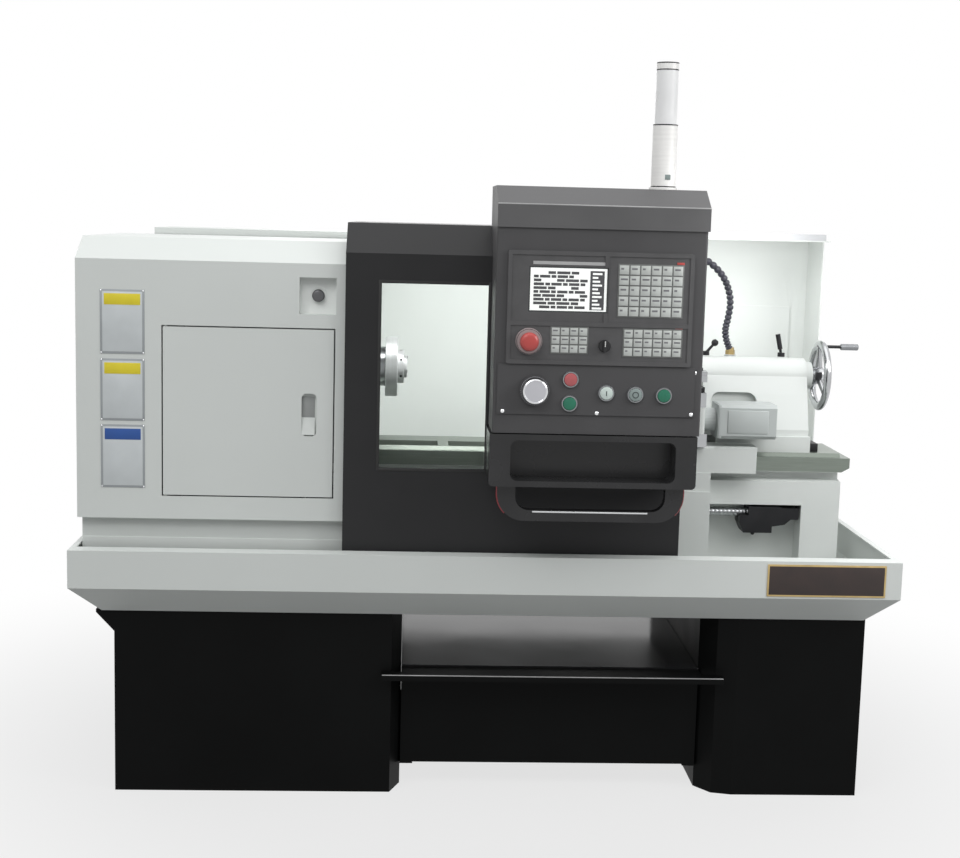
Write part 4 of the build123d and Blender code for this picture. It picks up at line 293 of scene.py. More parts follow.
# Bare plates on the headstock cover, each with a plain colour band
COVER_Y = extent("headstock_cover")[0].y
PLATE_LEFT, PLATE_RIGHT, PLATE_EDGE, BAND_INSET, BAND_TALL = -878.0, -780.0, 5.0, 9.0, 25.0
RIVET = ((0, 1.8), (0.5, 1.6), (0.9, 0.8), (0.9, 0))
plate_metal = surface("plate_metal", (0.52, 0.55, 0.56), 0.05, 0.4, 0.05, metal=0.3, scale=20)
plate_edge = surface("plate_edge", (0.30, 0.32, 0.33), 0.06, 0.4, 0.05, metal=0.4, scale=20)
yellow_band = surface("yellow_band", (0.72, 0.60, 0.03), 0.05, 0.45, 0.05, scale=25)
blue_band = surface("blue_band", (0.02, 0.08, 0.30), 0.08, 0.45, 0.05, scale=25)
PLATES = ((1013, 1156, yellow_band), (863, 1002, yellow_band), (711, 854, blue_band))
for number, (low, high, band) in enumerate(PLATES, 1):
    piece(f"plate_edge_{number}", "base", plate_edge,
          lambda bm: box(bm, (PLATE_LEFT, COVER_Y - 1.0, low), (PLATE_RIGHT, COVER_Y, high), 0.4))
    piece(f"plate_{number}", "base", plate_metal,
          lambda bm: box(bm, (PLATE_LEFT + PLATE_EDGE, COVER_Y - 1.5, low + PLATE_EDGE),
                         (PLATE_RIGHT - PLATE_EDGE, COVER_Y - 0.9, high - PLATE_EDGE), 0.2))
    piece(f"plate_band_{number}", "base", band,
          lambda bm: box(bm, (PLATE_LEFT + BAND_INSET, COVER_Y - 1.9, high - BAND_INSET - BAND_TALL),
                         (PLATE_RIGHT - BAND_INSET, COVER_Y - 1.4, high - BAND_INSET), 0.2))


def plate_rivets(bm):
    inset = PLATE_EDGE / 2
    for low, high, _ in PLATES:
        for x in (PLATE_LEFT + inset, PLATE_RIGHT - inset):
            for z in (low + inset, high - inset):
                lathe(bm, (x, COVER_Y - 1.0, z), FRONT, RIVET, 12)


plain("plate_rivets", "base", "chromed_steel", plate_rivets)

# Bare dark plate with a brass border on the tray's front
TRAY_Y = extent("chip_tray")[0].y
TRAY_PLATE_X, TRAY_PLATE_Z, BORDER = (630.0, 903.0), (499.0, 573.0), 4.0
brass = surface("plate_brass", (0.50, 0.37, 0.17), 0.12, 0.34, 0.06, metal=0.9, scale=40)
plate_brown = surface("plate_brown", (0.022, 0.012, 0.010), 0.2, 0.4, 0.05, scale=30)


def tray_plate(bm, inset, front, back, bevel):
    box(bm, (TRAY_PLATE_X[0] + inset, TRAY_Y - front, TRAY_PLATE_Z[0] + inset),
        (TRAY_PLATE_X[1] - inset, TRAY_Y - back, TRAY_PLATE_Z[1] - inset), bevel)


piece("front_plate_border", "base", brass, lambda bm: tray_plate(bm, 0.0, 2.0, 0.0, 0.6))
piece("front_plate", "base", plate_brown, lambda bm: tray_plate(bm, BORDER, 2.4, 1.9, 0.2))


# Push buttons, emergency stop, selector and dial: the turned forms of the solids, with their edges softened
def facing(node):
    """A control's middle on its back face, its radius and its reach towards the operator."""
    low, high = extent(node)
    return ((low.x + high.x) / 2, high.y, (low.z + high.z) / 2), (high.x - low.x) / 2, high.y - low.y


BUTTONS = ("stop_button", "start_button", "power_button", "hold_button", "cycle_button")
stop_pink = surface("stop_lens", (0.46, 0.105, 0.11), 0.08, 0.25, 0.04, scale=60)
bezel = surface("bezel_metal", (0.30, 0.31, 0.32), 0.08, 0.3, 0.05, metal=0.8, scale=40)
for node in BUTTONS:
    back, radius, reach = facing(node)
    shape = ((0, 0), (0, radius), (reach - 1.6, radius), (reach - 0.5, radius - 0.8), (reach, radius - 2.2),
             (reach, 0))
    lens = stop_pink if node == "stop_button" else materials[slot_of[node]]
    piece(f"{node}_cap", node, lens, lambda bm: lathe(bm, back, FRONT, shape, 40), (node,))

# Profiles of turned pieces are rows of distance along the axis and radius
PLATE_Y = extent("switch_plate")[0].y + 5.0
BEZEL = ((0, 17.0), (0, 18.2), (3.6, 17.8), (5.4, 16.6), (5.4, 14.8), (4.9, 14.8), (4.9, 17.0), (0, 17.0))
HOLD_RING = ((0, 5.2), (0, 7.2), (0.5, 7.2), (0.5, 5.2), (0, 5.2))
COLLAR = ((0, 27.0), (0, 28.4), (9, 28.4), (13.7, 25.5), (13.7, 14.0), (13.2, 14.0), (13.2, 27.0), (0, 27.0))
MARK_PROUD, MARK_SUNK, MARK_HALF, MARK_TALL = 0.3, 0.2, 1.0, 5.0


def button_bezels(bm):
    for node in BUTTONS:
        back = facing(node)[0]
        lathe(bm, (back[0], PLATE_Y, back[2]), FRONT, BEZEL, 40)


piece("button_bezels", "guard", bezel, button_bezels)

mark = surface("dark_mark", (0.03, 0.04, 0.04), 0.1, 0.5, 0.05, scale=40)
back, radius, reach = facing("power_button")
piece("power_mark", "power_button", mark,
      lambda bm: box(bm, (back[0] - MARK_HALF, back[1] - reach - MARK_PROUD, back[2] - MARK_TALL),
                     (back[0] + MARK_HALF, back[1] - reach + MARK_SUNK, back[2] + MARK_TALL)))
hold, radius, reach = facing("hold_button")
piece("hold_mark", "hold_button", mark,
      lambda bm: lathe(bm, (hold[0], hold[1] - reach + MARK_SUNK, hold[2]), FRONT, HOLD_RING, 32))

estop, radius, reach = facing("estop_button")
plain("estop_mushroom", "estop_button", "red_plastic",
      lambda bm: lathe(bm, estop, FRONT,
                       ((0, 0), (0, 13), (reach - 13, 13), (reach - 13, radius - 0.6), (reach - 12, radius),
                        (reach - 6, radius), (reach - 3, radius - 1.6), (reach - 1, radius - 5),
                        (reach, radius - 9), (reach, 0)), 48), ("estop_button",))
collar_pink = surface("collar_pink", (0.36, 0.29, 0.29), 0.05, 0.4, 0.05, scale=30)
FIELD_Y = extent("keypads")[1].y
piece("estop_collar", "guard", collar_pink,
      lambda bm: lathe(bm, (estop[0], FIELD_Y, estop[2]), FRONT, COLLAR, 48))

knob, radius, reach = facing("feed_selector")
KNOB_DISC, GRIP_HALF = 8.5, 4.0


def selector_knob(bm):
    lathe(bm, knob, FRONT,
          ((0, 0), (0, radius), (KNOB_DISC - 2, radius), (KNOB_DISC, radius - 1.5), (KNOB_DISC, 0)), 40)
    box(bm, (knob[0] - GRIP_HALF, knob[1] - reach, knob[2] - radius + 1),
        (knob[0] + GRIP_HALF, knob[1] - KNOB_DISC + 1.5, knob[2] + radius - 1), 1.2)


plain("selector_knob", "feed_selector", "handle_plastic", selector_knob, ("feed_selector",))
white_mark = surface("white_mark", (0.8, 0.8, 0.78), 0.03, 0.5, 0.05, scale=40)
piece("selector_mark", "feed_selector", white_mark,
      lambda bm: box(bm, (knob[0] - 0.8, knob[1] - reach - MARK_PROUD, knob[2] - 1),
                     (knob[0] + 0.8, knob[1] - reach + MARK_SUNK, knob[2] + radius - 2)))

dial, DIAL_RADIUS, DIAL_HEIGHT = facing("hand_dial")
DIAL_RIBS, RING_FOOT, RING_INSIDE = 40, 11.5, DIAL_RADIUS - 7.4
dial_silver = surface("dial_silver", (0.50, 0.50, 0.53), 0.05, 0.32, 0.05, metal=0.6, scale=14)


def dial_wheel(bm):
    lathe(bm, dial, FRONT,
          ((0, 0), (0, DIAL_RADIUS), (12, DIAL_RADIUS), (15, DIAL_RADIUS - 1), (DIAL_HEIGHT, DIAL_RADIUS - 5),
           (DIAL_HEIGHT, DIAL_RADIUS - 6.5), (DIAL_HEIGHT - 1, DIAL_RADIUS - 7.5), (DIAL_HEIGHT - 1, 0)), 56)
    for step in range(DIAL_RIBS):
        angle = 2 * math.pi * step / DIAL_RIBS
        x, z = dial[0] + DIAL_RADIUS * math.cos(angle), dial[2] + DIAL_RADIUS * math.sin(angle)
        rod(bm, (x, dial[1] - 1, z), (x, dial[1] - 11, z), 0.9, segments=6)


piece("dial_wheel", "hand_dial", dial_silver, dial_wheel, ("hand_dial",))
plain("dial_ring", "hand_dial", "chromed_steel",
      lambda bm: lathe(bm, dial, FRONT,
                       ((RING_FOOT, DIAL_RADIUS - 3), (RING_FOOT, DIAL_RADIUS + 0.3), (14, DIAL_RADIUS - 0.2),
                        (17, DIAL_RADIUS - 1.6), (DIAL_HEIGHT - 1, DIAL_RADIUS - 3.6),
                        (DIAL_HEIGHT + 0.2, DIAL_RADIUS - 5.6), (DIAL_HEIGHT - 0.6, RING_INSIDE),
                        (RING_FOOT, RING_INSIDE), (RING_FOOT, DIAL_RADIUS - 3)), 56))

# Screws of the switch plate; those above UPPER_ROW sit on the pod's own face
UPPER_ROW, POD_Y = 1010.0, extent("control_pod")[0].y
PLATE_SCREW = ((0, 4.2), (1.2, 4.0), (2.2, 2.6), (2.5, 0))
SCREWS = ((6, 1019), (216, 1015), (425, 1013), (11, 923), (215, 922), (420, 923))
plain("plate_screws", "guard", "chromed_steel",
      lambda bm: [lathe(bm, (x, PLATE_Y if z < UPPER_ROW else POD_Y, z), FRONT, PLATE_SCREW, 16)
                  for x, z in SCREWS])

# Control unit: a lit screen with plain fields, a bare title strip, and keys with plain bars for legends
unit_low = extent("unit_frame")[0]
UNIT_X, UNIT_Z = unit_low.x, unit_low.z
screen_low, screen_high = extent("lcd_screen")
display = surface("display_field", (0.86, 0.88, 0.86), 0.02, 0.3, 0.03, scale=20)
display_shader = display.node_tree.nodes["Principled BSDF"]
display_shader.inputs["Emission Color"].default_value = (0.95, 0.97, 0.95, 1.0)
display_shader.inputs["Emission Strength"].default_value = 0.35
display_dark = surface("display_dark", (0.07, 0.07, 0.075), 0.05, 0.3, 0.03, scale=30)
legend_grey = surface("legend_grey", (0.16, 0.16, 0.17), 0.05, 0.4, 0.03, scale=30)
piece("display_field", "guard", display,
      lambda bm: box(bm, (screen_low.x + 3, screen_low.y - 0.4, screen_low.z + 3),
                     (screen_high.x - 3, screen_low.y + 0.2, screen_high.z - 3)))


def on_screen(bm, left, low, right, high, rise):
    wide, tall = screen_high.x - screen_low.x, screen_high.z - screen_low.z
    box(bm, (screen_low.x + left * wide, screen_low.y - rise, screen_low.z + low * tall),
        (screen_low.x + right * wide, screen_low.y - 0.3, screen_low.z + high * tall))


# Rows of plain bars on the lit field, and a dark side column with light boxes, as shares of the screen
ROWS, ROW_FOOT, ROW_STEP, ROW_TALL = 10, 0.08, 0.084, 0.060
ROW_LEFT, ROW_RIGHT, SIDE_LEFT, SIDE_RIGHT = 0.06, 0.74, 0.77, 0.95
BAR_LEAST, BAR_STEP, BAR_GAP = 0.06, 0.035, 0.016


def dark_rows(bm):
    on_screen(bm, SIDE_LEFT, ROW_FOOT - 0.02, SIDE_RIGHT, ROW_FOOT + ROWS * ROW_STEP, 0.7)
    for row in range(ROWS):
        low = ROW_FOOT + row * ROW_STEP
        share = ROW_LEFT
        for bar in range(7):
            width = BAR_LEAST + BAR_STEP * ((row * 3 + bar * 2) % 4)
            if share + width < ROW_RIGHT and (row + 2 * bar) % 9:
                on_screen(bm, share, low, share + width, low + ROW_TALL, 0.7)
            share += width + BAR_GAP


def side_boxes(bm):
    for row in range(ROWS):
        low = ROW_FOOT + row * ROW_STEP
        on_screen(bm, SIDE_LEFT + 0.03, low, SIDE_RIGHT - 0.03 - 0.025 * (row % 3), low + ROW_TALL * 0.7, 0.9)


piece("display_boxes", "guard", display, side_boxes)
piece("display_dark", "guard", display_dark, dark_rows)
strip_grey = surface("strip_grey", (0.42, 0.42, 0.42), 0.04, 0.4, 0.04, scale=30)
piece("title_strip", "guard", strip_grey,
      lambda bm: box(bm, (screen_low.x + 8, FIELD_Y - 0.5, screen_high.z + 4),
                     (screen_high.x - 6, FIELD_Y + 0.2, screen_high.z + 11)))

# Keypads: left, low, width, height, columns and rows on the control unit
KEYPADS = ((235, 104, 142, 114, 6, 5), (94, 23, 82, 59, 4, 3), (250, 19, 129, 62, 6, 3))
KEY_GAP, FILM, KEY_RISE = 3.0, 1.0, 0.8
LEGEND_LEFT, LEGEND_LOW, LEGEND_HIGH, LEGEND_LEAST, LEGEND_STEP = 0.15, 0.52, 0.72, 0.3, 0.15


def key_places():
    for left, low, wide, tall, columns, rows in KEYPADS:
        for column in range(columns):
            for row in range(rows):
                yield (UNIT_X + left + KEY_GAP + column * (wide - KEY_GAP) / columns,
                       UNIT_Z + low + KEY_GAP + row * (tall - KEY_GAP) / rows,
                       (wide - KEY_GAP) / columns - KEY_GAP, (tall - KEY_GAP) / rows - KEY_GAP, column, row)


def key_films(bm):
    for left, low, wide, tall, *_ in KEYPADS:
        box(bm, (UNIT_X + left, FIELD_Y - FILM, UNIT_Z + low),
            (UNIT_X + left + wide, FIELD_Y, UNIT_Z + low + tall), 0.3)


def key_caps(bm):
    for x, z, wide, tall, *_ in key_places():
        box(bm, (x, FIELD_Y - FILM - KEY_RISE, z), (x + wide, FIELD_Y - FILM + 0.1, z + tall), 0.4)


def key_legends(bm):
    face = FIELD_Y - FILM - KEY_RISE
    for x, z, wide, tall, column, row in key_places():
        share = LEGEND_LEAST + LEGEND_STEP * ((column * 2 + row) % 4)
        box(bm, (x + wide * LEGEND_LEFT, face - 0.12, z + tall * LEGEND_LOW),
            (x + wide * (LEGEND_LEFT + share), face + 0.1, z + tall * LEGEND_HIGH))


key_light = surface("key_light", (0.50, 0.52, 0.50), 0.08, 0.4, 0.05, scale=60)
plain("key_films", "guard", "key_film", key_films, ("keypads",))
piece("key_caps", "guard", key_light, key_caps)
piece("key_legends", "guard", legend_grey, key_legends)
plain("red_tabs", "guard", "red_plastic",
      lambda bm: [box(bm, (UNIT_X + left + wide - 16, FIELD_Y - FILM - 0.3, UNIT_Z + low + tall + 0.5),
                      (UNIT_X + left + wide, FIELD_Y + 0.1, UNIT_Z + low + tall + 5.5), 0.2)
                  for left, low, wide, tall, *_ in KEYPADS[::2]])

# Painted highlight along the visor fold, window gasket and the red trim of the handle's arms
visor_low, visor_high = extent("pod_visor")
FOLD_Z = 1365.0
# A lighter grey than the surfaces it lies on: a painted highlight along the visor fold and the tank's front
# edge
painted_edge_highlight = surface("painted_edge_highlight", (0.34, 0.34, 0.34), 0.2, 0.35, 0.05, metal=0.3, scale=30,
                    stretch=(0.3, 1, 1))
piece("visor_fold_highlight", "guard", painted_edge_highlight,
      lambda bm: rod(bm, (visor_low.x, visor_low.y + 0.8, FOLD_Z), (visor_high.x, visor_low.y + 0.8, FOLD_Z),
                     1.6, segments=10))
GUARD_Y = -363.0
pane_low, pane_high = extent("guard_window")
PANE_LAP, GASKET = 24.0, 7.0
WINDOW_X = (pane_low.x + PANE_LAP, pane_high.x - PANE_LAP)
WINDOW_Z = (pane_low.z + PANE_LAP, pane_high.z - PANE_LAP)


def gasket(bm):
    half = GASKET / 2
    for x in WINDOW_X:
        box(bm, (x - half, GUARD_Y - 1.5, WINDOW_Z[0] - half),
            (x + half, GUARD_Y + 3, WINDOW_Z[1] + half), 0.6)
    for z in WINDOW_Z:
        box(bm, (WINDOW_X[0], GUARD_Y - 1.4, z - half), (WINDOW_X[1], GUARD_Y + 3, z + half), 0.6)


plain("window_gasket", "guard", "belt_rubber", gasket)
handle_low, handle_high = extent("door_handle")
HANDLE_CORNER, TRIM_STEPS, TRIM_TURN, TRIM_RADIUS = 60.0, 6, 9, 2.8


def handle_trim(bm):
    y = handle_low.y + 4.0
    for side, edge in ((1, handle_low.x), (-1, handle_high.x)):
        middle_x, middle_z = edge + side * HANDLE_CORNER, handle_low.z + HANDLE_CORNER
        points = [(edge, y, handle_high.z)]
        for step in range(TRIM_STEPS):
            angle = math.radians(TRIM_TURN * step)
            points.append((middle_x - side * HANDLE_CORNER * math.cos(angle), y,
                           middle_z - HANDLE_CORNER * math.sin(angle)))
        for start, end in zip(points, points[1:]):
            rod(bm, start, end, TRIM_RADIUS, segments=8)


trim_red = surface("trim_red", (0.30, 0.035, 0.045), 0.08, 0.35, 0.05, scale=30)
piece("handle_trim", "guard", trim_red, handle_trim)
BAR_INSET, BAR_EDGE = 78.0, 21.0
plain("handle_bar_edge", "guard", "alloy",
      lambda bm: rod(bm, (handle_low.x + BAR_INSET, handle_low.y, handle_low.z + BAR_EDGE),
                     (handle_high.x - BAR_INSET, handle_low.y, handle_low.z + BAR_EDGE), 2.4, segments=12))

# Stack light: its turned sections with dark joints between them, and a small plate low on the base
lens_low, lens_high = extent("lamp_lens")
lamp_x, lamp_y = (lens_low.x + lens_high.x) / 2, (lens_low.y + lens_high.y) / 2
lamp_low, lamp_high = extent("lamp_base")
lamp_foot, lens_long = lamp_low.z, lens_high.z - lens_low.z
LAMP_FOOT, LAMP_TUBE = (lamp_high.x - lamp_low.x) / 2, 27.0
LENS, JOINT = (lens_high.x - lens_low.x) / 2, 2.4
lamp_silver = surface("lamp_silver", (0.88, 0.87, 0.85), 0.04, 0.45, 0.05, metal=0.1, scale=14,
                      stretch=(1, 1, 14), specular=0.25)
lamp_glass = surface("lamp_glass", (0.88, 0.88, 0.88), 0.03, 0.3, 0.03, scale=14, specular=0.3)


def lamp_tube(bm):
    top = lens_low.z - lamp_foot
    lathe(bm, (lamp_x, lamp_y, lamp_foot), UP,
          ((0, 0), (0, LAMP_FOOT), (5, LAMP_FOOT), (6, LAMP_TUBE), (top - 1, LAMP_TUBE), (top, LAMP_TUBE - 1),
           (top, 0)), 48)
    cap = lamp_high.z - lens_high.z
    lathe(bm, (lamp_x, lamp_y, lens_high.z), UP,
          ((0, 0), (0, LENS), (cap - 1.5, LENS), (cap, LENS - 1.5), (cap, 0)), 48)


piece("lamp_tube", "guard", lamp_silver, lamp_tube, ("lamp_base",))
piece("lamp_sleeve", "guard", lamp_glass,
      lambda bm: lathe(bm, (lamp_x, lamp_y, lens_low.z), UP,
                       ((0, 0), (0, LENS), (lens_long, LENS), (lens_long, 0)), 48), ("lamp_lens",))


def lamp_joints(bm):
    for z, radius in ((lens_low.z - JOINT / 2, LAMP_TUBE + 0.3), (lens_high.z - JOINT / 2, LENS + 0.3),
                      (lamp_high.z - 2.6, LENS + 0.3), (lamp_foot + 6, LAMP_TUBE + 0.4)):
        inside = radius - 3
        lathe(bm, (lamp_x, lamp_y, z), UP, ((0, inside), (0, radius), (JOINT, radius), (JOINT, inside)), 48)


def lamp_plate(bm):
    face = lamp_y - LAMP_TUBE
    box(bm, (lamp_x - 1, face - 0.6, lamp_foot + 22), (lamp_x + 11, face + 4, lamp_foot + 33), 0.4)


plain("lamp_joints", "guard", "handle_plastic", lamp_joints)
plain("lamp_plate", "guard", "grey_plastic", lamp_plate)

# Ballscrew with its helical groove, from the plain shaft of the solid
screw_low, screw_high = extent("z_ballscrew")
SCREW_PITCH, GROOVE, AROUND, ALONG = 10.0, 1.6, 20, 5


def ballscrew(bm):
    y, z = (screw_low.y + screw_high.y) / 2, (screw_low.z + screw_high.z) / 2
    radius = (screw_high.z - screw_low.z) / 2
    count = int((screw_high.x - screw_low.x) / SCREW_PITCH * ALONG)
    rings = []
    for step in range(count + 1):
        x = screw_low.x + (screw_high.x - screw_low.x) * step / count
        ring = []
        for k in range(AROUND):
            angle = 2 * math.pi * (k / AROUND)
            phase = math.cos(2 * math.pi * ((x - screw_low.x) / SCREW_PITCH - k / AROUND))
            r = radius - GROOVE * max(0.0, phase)
            ring.append(bm.verts.new((x, y + r * math.cos(angle), z + r * math.sin(angle))))
        rings.append(ring)
    for low, high in zip(rings, rings[1:]):
        for k in range(AROUND):
            n = (k + 1) % AROUND
            bm.faces.new((low[k], low[n], high[n], high[k])).smooth = True
    for ring in (rings[0], rings[-1]):
        bm.faces.new(ring)


# A socket-head bolt in the bed's recess, below the screw's bracket
BOLT_PLACE = (672.0, -63.0, 574.0)
BOLT = ((0, 4.8), (4, 4.8), (5, 4.0), (5, 2.4), (2, 2.2), (2, 0))
plain("bed_bolt", "base", "dark_steel", lambda bm: lathe(bm, BOLT_PLACE, FRONT, BOLT, 18))
plain("ballscrew_thread", "ballscrew", "machined_steel", ballscrew, ("z_ballscrew",))

# Collet chuck turned smooth; the slits of the collet and the spanner holes of its nose cap are dark steel
# marks, painted shade in the gaps and holes
chuck_low, chuck_high = extent("collet_chuck")
AXIS_Y, AXIS_Z = (chuck_low.y + chuck_high.y) / 2, (chuck_low.z + chuck_high.z) / 2
CHUCK_LONG, DISC_RADIUS, DISC_LONG = chuck_high.x - chuck_low.x, (chuck_high.z - chuck_low.z) / 2, 30.0
NOSE_RADIUS, NOSE_LONG, COLLET_RADIUS, BORE, BACK_BORE = 40.5, 16.0, 27.0, 20.0, 24.0
SLITS, SLIT_DEEP, SPANNER_HOLES = 3, 6.0, 6


def chuck(bm):
    nose = DISC_LONG + NOSE_LONG
    lathe(bm, (chuck_low.x, AXIS_Y, AXIS_Z), ALONG_X,
          ((0, BACK_BORE), (0, DISC_RADIUS - 1.5), (1.5, DISC_RADIUS), (DISC_LONG - 2, DISC_RADIUS),
           (DISC_LONG, DISC_RADIUS - 2), (DISC_LONG, NOSE_RADIUS), (nose - 2, NOSE_RADIUS),
           (nose, NOSE_RADIUS - 2), (nose, COLLET_RADIUS), (CHUCK_LONG - 1, COLLET_RADIUS),
           (CHUCK_LONG, COLLET_RADIUS - 1), (CHUCK_LONG, BORE), (DISC_LONG, BORE), (DISC_LONG, BACK_BORE),
           (0, BACK_BORE)), 72)


def radial(degrees):
    """A unit step away from the spindle's axis."""
    angle = math.radians(degrees)
    return Vector((0, math.cos(angle), math.sin(angle)))


# Dark steel rods laid in the slits and holes: painted shade where the collet and the nose cap are open
def chuck_gap_shade(bm):
    start = Vector((chuck_high.x - SLIT_DEEP, AXIS_Y, AXIS_Z))
    face = Vector((SLIT_DEEP + 0.1, 0, 0))
    for step in range(SLITS):
        out = radial(90 + 360 / SLITS * step)
        foot = start + out * (BORE + 0.2)
        rod(bm, foot, start + out * (COLLET_RADIUS + 0.2), 1.0, segments=10)
        rod(bm, foot + face, start + out * (COLLET_RADIUS - 0.5) + face, 0.9, segments=10)
    for step in range(SPANNER_HOLES):
        out = radial(30 + 360 / SPANNER_HOLES * step)
        hole = Vector((chuck_low.x + DISC_LONG + NOSE_LONG / 2, AXIS_Y, AXIS_Z)) + out * NOSE_RADIUS
        rod(bm, hole - out * 3, hole + out * 0.3, 3.2, segments=16)


piece("chuck_turned", "spindle", chuck_steel, chuck, ("collet_chuck",))
plain("chuck_gap_shade", "spindle", "dark_steel", chuck_gap_shade)

# Gear shift: the dark rounded end of its shaft, in a shallow liner whiter than the cover's paint, a painted
# light in the pocket
shift_low, shift_high = extent("shift_shaft")
SHIFT_RADIUS, SHIFT_PROUD, POCKET, LINER = 13.5, 12.0, 82.0, 2.0
knob_steel = surface("shift_steel", (0.10, 0.10, 0.105), 0.12, 0.3, 0.06, metal=0.6, scale=25)
shift = ((shift_low.x + shift_high.x) / 2, shift_low.y, (shift_low.z + shift_high.z) / 2)
piece("shift_end", "shift_shaft", knob_steel,
      lambda bm: lathe(bm, (shift[0], shift[1] + 10, shift[2]), FRONT,
                       ((0, SHIFT_RADIUS), (0, SHIFT_RADIUS + 0.4), (SHIFT_PROUD + 6, SHIFT_RADIUS + 0.4),
                        (SHIFT_PROUD + 8.6, SHIFT_RADIUS - 1.4), (SHIFT_PROUD + 10, SHIFT_RADIUS - 5),
                        (SHIFT_PROUD + 10, 0)), 32))


def pocket_liner(bm):
    half, front, hole = POCKET / 2, shift[1] + 1, SHIFT_RADIUS + 0.8
    box(bm, (shift[0] - half, front, shift[2] - half), (shift[0] + half, front + LINER, shift[2] + half))
    lathe(bm, (shift[0], front, shift[2]), FRONT,
          ((0, hole), (0, SHIFT_RADIUS + 6), (1.5, SHIFT_RADIUS + 5.5), (1.5, hole), (0, hole)), 32)


# Whiter than the cover's enamel: painted light on the pocket's back
liner_painted_light = surface("liner_painted_light", (0.84, 0.86, 0.84), 0.02, 0.4, 0.05, scale=10, specular=0.3)
piece("pocket_liner", "base", liner_painted_light, pocket_liner)

# Flush pull of the service door: a ramp that leads the fingers in, and above it a mid-grey back that is
# painted shade
door_low, door_high = extent("headstock_door")
PULL_WIDE, PULL_TALL, PULL_DEEP, PULL_INSET, PULL_DROP = 34.0, 97.0, 11.0, 57.0, 147.0
pull_x, pull_top = door_high.x - PULL_INSET, door_high.z - PULL_DROP
# A mid grey on the recess's back: painted shade in the upper half of the pull
pull_shade = surface("pull_shade", (0.30, 0.31, 0.305), 0.04, 0.45, 0.05, scale=12)


def pull_ramp(bm):
    left, right = pull_x - PULL_WIDE / 2 + 1, pull_x + PULL_WIDE / 2 - 1
    front, deep, foot = door_low.y + 1.5, door_low.y + PULL_DEEP + 0.3, pull_top - PULL_TALL + 6
    top = foot + PULL_TALL * 0.45
    wedge = ((front, foot), (deep, foot), (deep, top))
    corners = [bm.verts.new((x, y, z)) for x in (left, right) for y, z in wedge]
    for face in ((0, 1, 2), (3, 4, 5), (0, 1, 4, 3), (1, 2, 5, 4), (2, 0, 3, 5)):
        bm.faces.new([corners[k] for k in face])


def pull_back(bm):
    low, high = pull_top - PULL_TALL * 0.55, pull_top - 5
    box(bm, (pull_x - PULL_WIDE / 2 + 1.5, door_low.y + PULL_DEEP - 0.8, low),
        (pull_x + PULL_WIDE / 2 - 1.5, door_low.y + PULL_DEEP + 0.4, high), 0.3)


plain("pull_ramp", "headstock_door", "white_paint", pull_ramp)
piece("pull_back", "headstock_door", pull_shade, pull_back)

# Foot strip along the skirt, and a painted highlight along the front top edge of the tank
plinth_low, plinth_high = extent("headstock_plinth")
tray_high = extent("chip_tray")[1]
STRIP_TALL, STRIP_DEEP = 14.0, 3.0
plain("plinth_strip", "base", "white_paint",
      lambda bm: box(bm, (plinth_low.x, plinth_low.y - STRIP_DEEP, tray_high.z - 20),
                     (plinth_high.x, plinth_low.y + 0.5, tray_high.z + STRIP_TALL), 1.0))
tank_low, tank_high = extent("coolant_tank")
piece("tank_edge_highlight", "base", painted_edge_highlight,
      lambda bm: rod(bm, (tank_low.x + 2, tank_low.y + 0.6, tank_high.z - 0.6),
                     (tank_high.x - 2, tank_low.y + 0.6, tank_high.z - 0.6), 1.3, segments=8))

# Coolant hose: jointed links along the route of the solid, its nozzle and its brass fitting
HOSE_START = (641.0, 155.0, 1000.0)
HOSE_OFFSETS = (
    (0, 0, 0), (0, 0, 12), (-11, -5, 30), (-19, -10, 62), (-15, -25, 92), (-12, -40, 135), (-24, -55, 176),
    (-46, -70, 211), (-90, -90, 246), (-136, -110, 254), (-170, -130, 222), (-186, -145, 168),
    (-192, -152, 112),
)
NOZZLE = ((0, 0), (0, 11), (13, 11), (16, 9.5), (45, 4), (45, 2.6), (41, 2.6), (41, 0))
HEX_FITTING = ((0, 0), (0, 10.5), (4, 10.5), (4, 12.5), (15, 12.5), (15, 10.5), (22, 10), (22, 0))
FITTING_DROP = 4.0
curve = bpy.data.curves.new("hose_route", "CURVE")
curve.dimensions = "3D"
spline = curve.splines.new("NURBS")
spline.points.add(len(HOSE_OFFSETS) - 1)
for point, offset in zip(spline.points, HOSE_OFFSETS):
    point.co = [start + step for start, step in zip(HOSE_START, offset)] + [1.0]
spline.order_u = 3
spline.use_endpoint_u = True
spline.resolution_u = 3
route_object = bpy.data.objects.new("hose_route", curve)
route_mesh = bpy.data.meshes.new_from_object(route_object)
route = [vertex.co.copy() for vertex in route_mesh.vertices]
bpy.data.objects.remove(route_object)
bpy.data.meshes.remove(route_mesh)
bpy.data.curves.remove(curve)


def hose_links(bm):
    for start, end in zip(route, route[1:]):
        reach = (end - start).length
        lathe(bm, start, end - start,
              ((-1, 0), (-1, 5.2), (0.12 * reach, 7.6), (0.3 * reach, 9.2), (0.6 * reach, 9.0),
               (0.82 * reach, 7.0), (reach + 0.5, 5.4), (reach + 0.5, 0)), 16)
    lathe(bm, route[-1], route[-1] - route[-2], NOZZLE, 20)


plain("hose_links", "carriage", "hose_plastic", hose_links, ("coolant_hose",))
piece("hose_fitting", "carriage", brass,
      lambda bm: lathe(bm, (HOSE_START[0], HOSE_START[1], HOSE_START[2] - FITTING_DROP), UP, HEX_FITTING, 6))

# Tailstock: the dark cover of the rear block
BED_TOP, BLOCK_LONG, BLOCK_HALF = extent("headstock")[0].z, 36.0, 31.0
stop_right = extent("tailstock_body")[1].x
plain("rear_block_cover", "tailstock", "dark_steel",
      lambda bm: box(bm, (stop_right - BLOCK_LONG, AXIS_Y - BLOCK_HALF, BED_TOP + 0.6),
                     (stop_right + 0.6, AXIS_Y + BLOCK_HALF, BED_TOP + 21.2), 0.8))

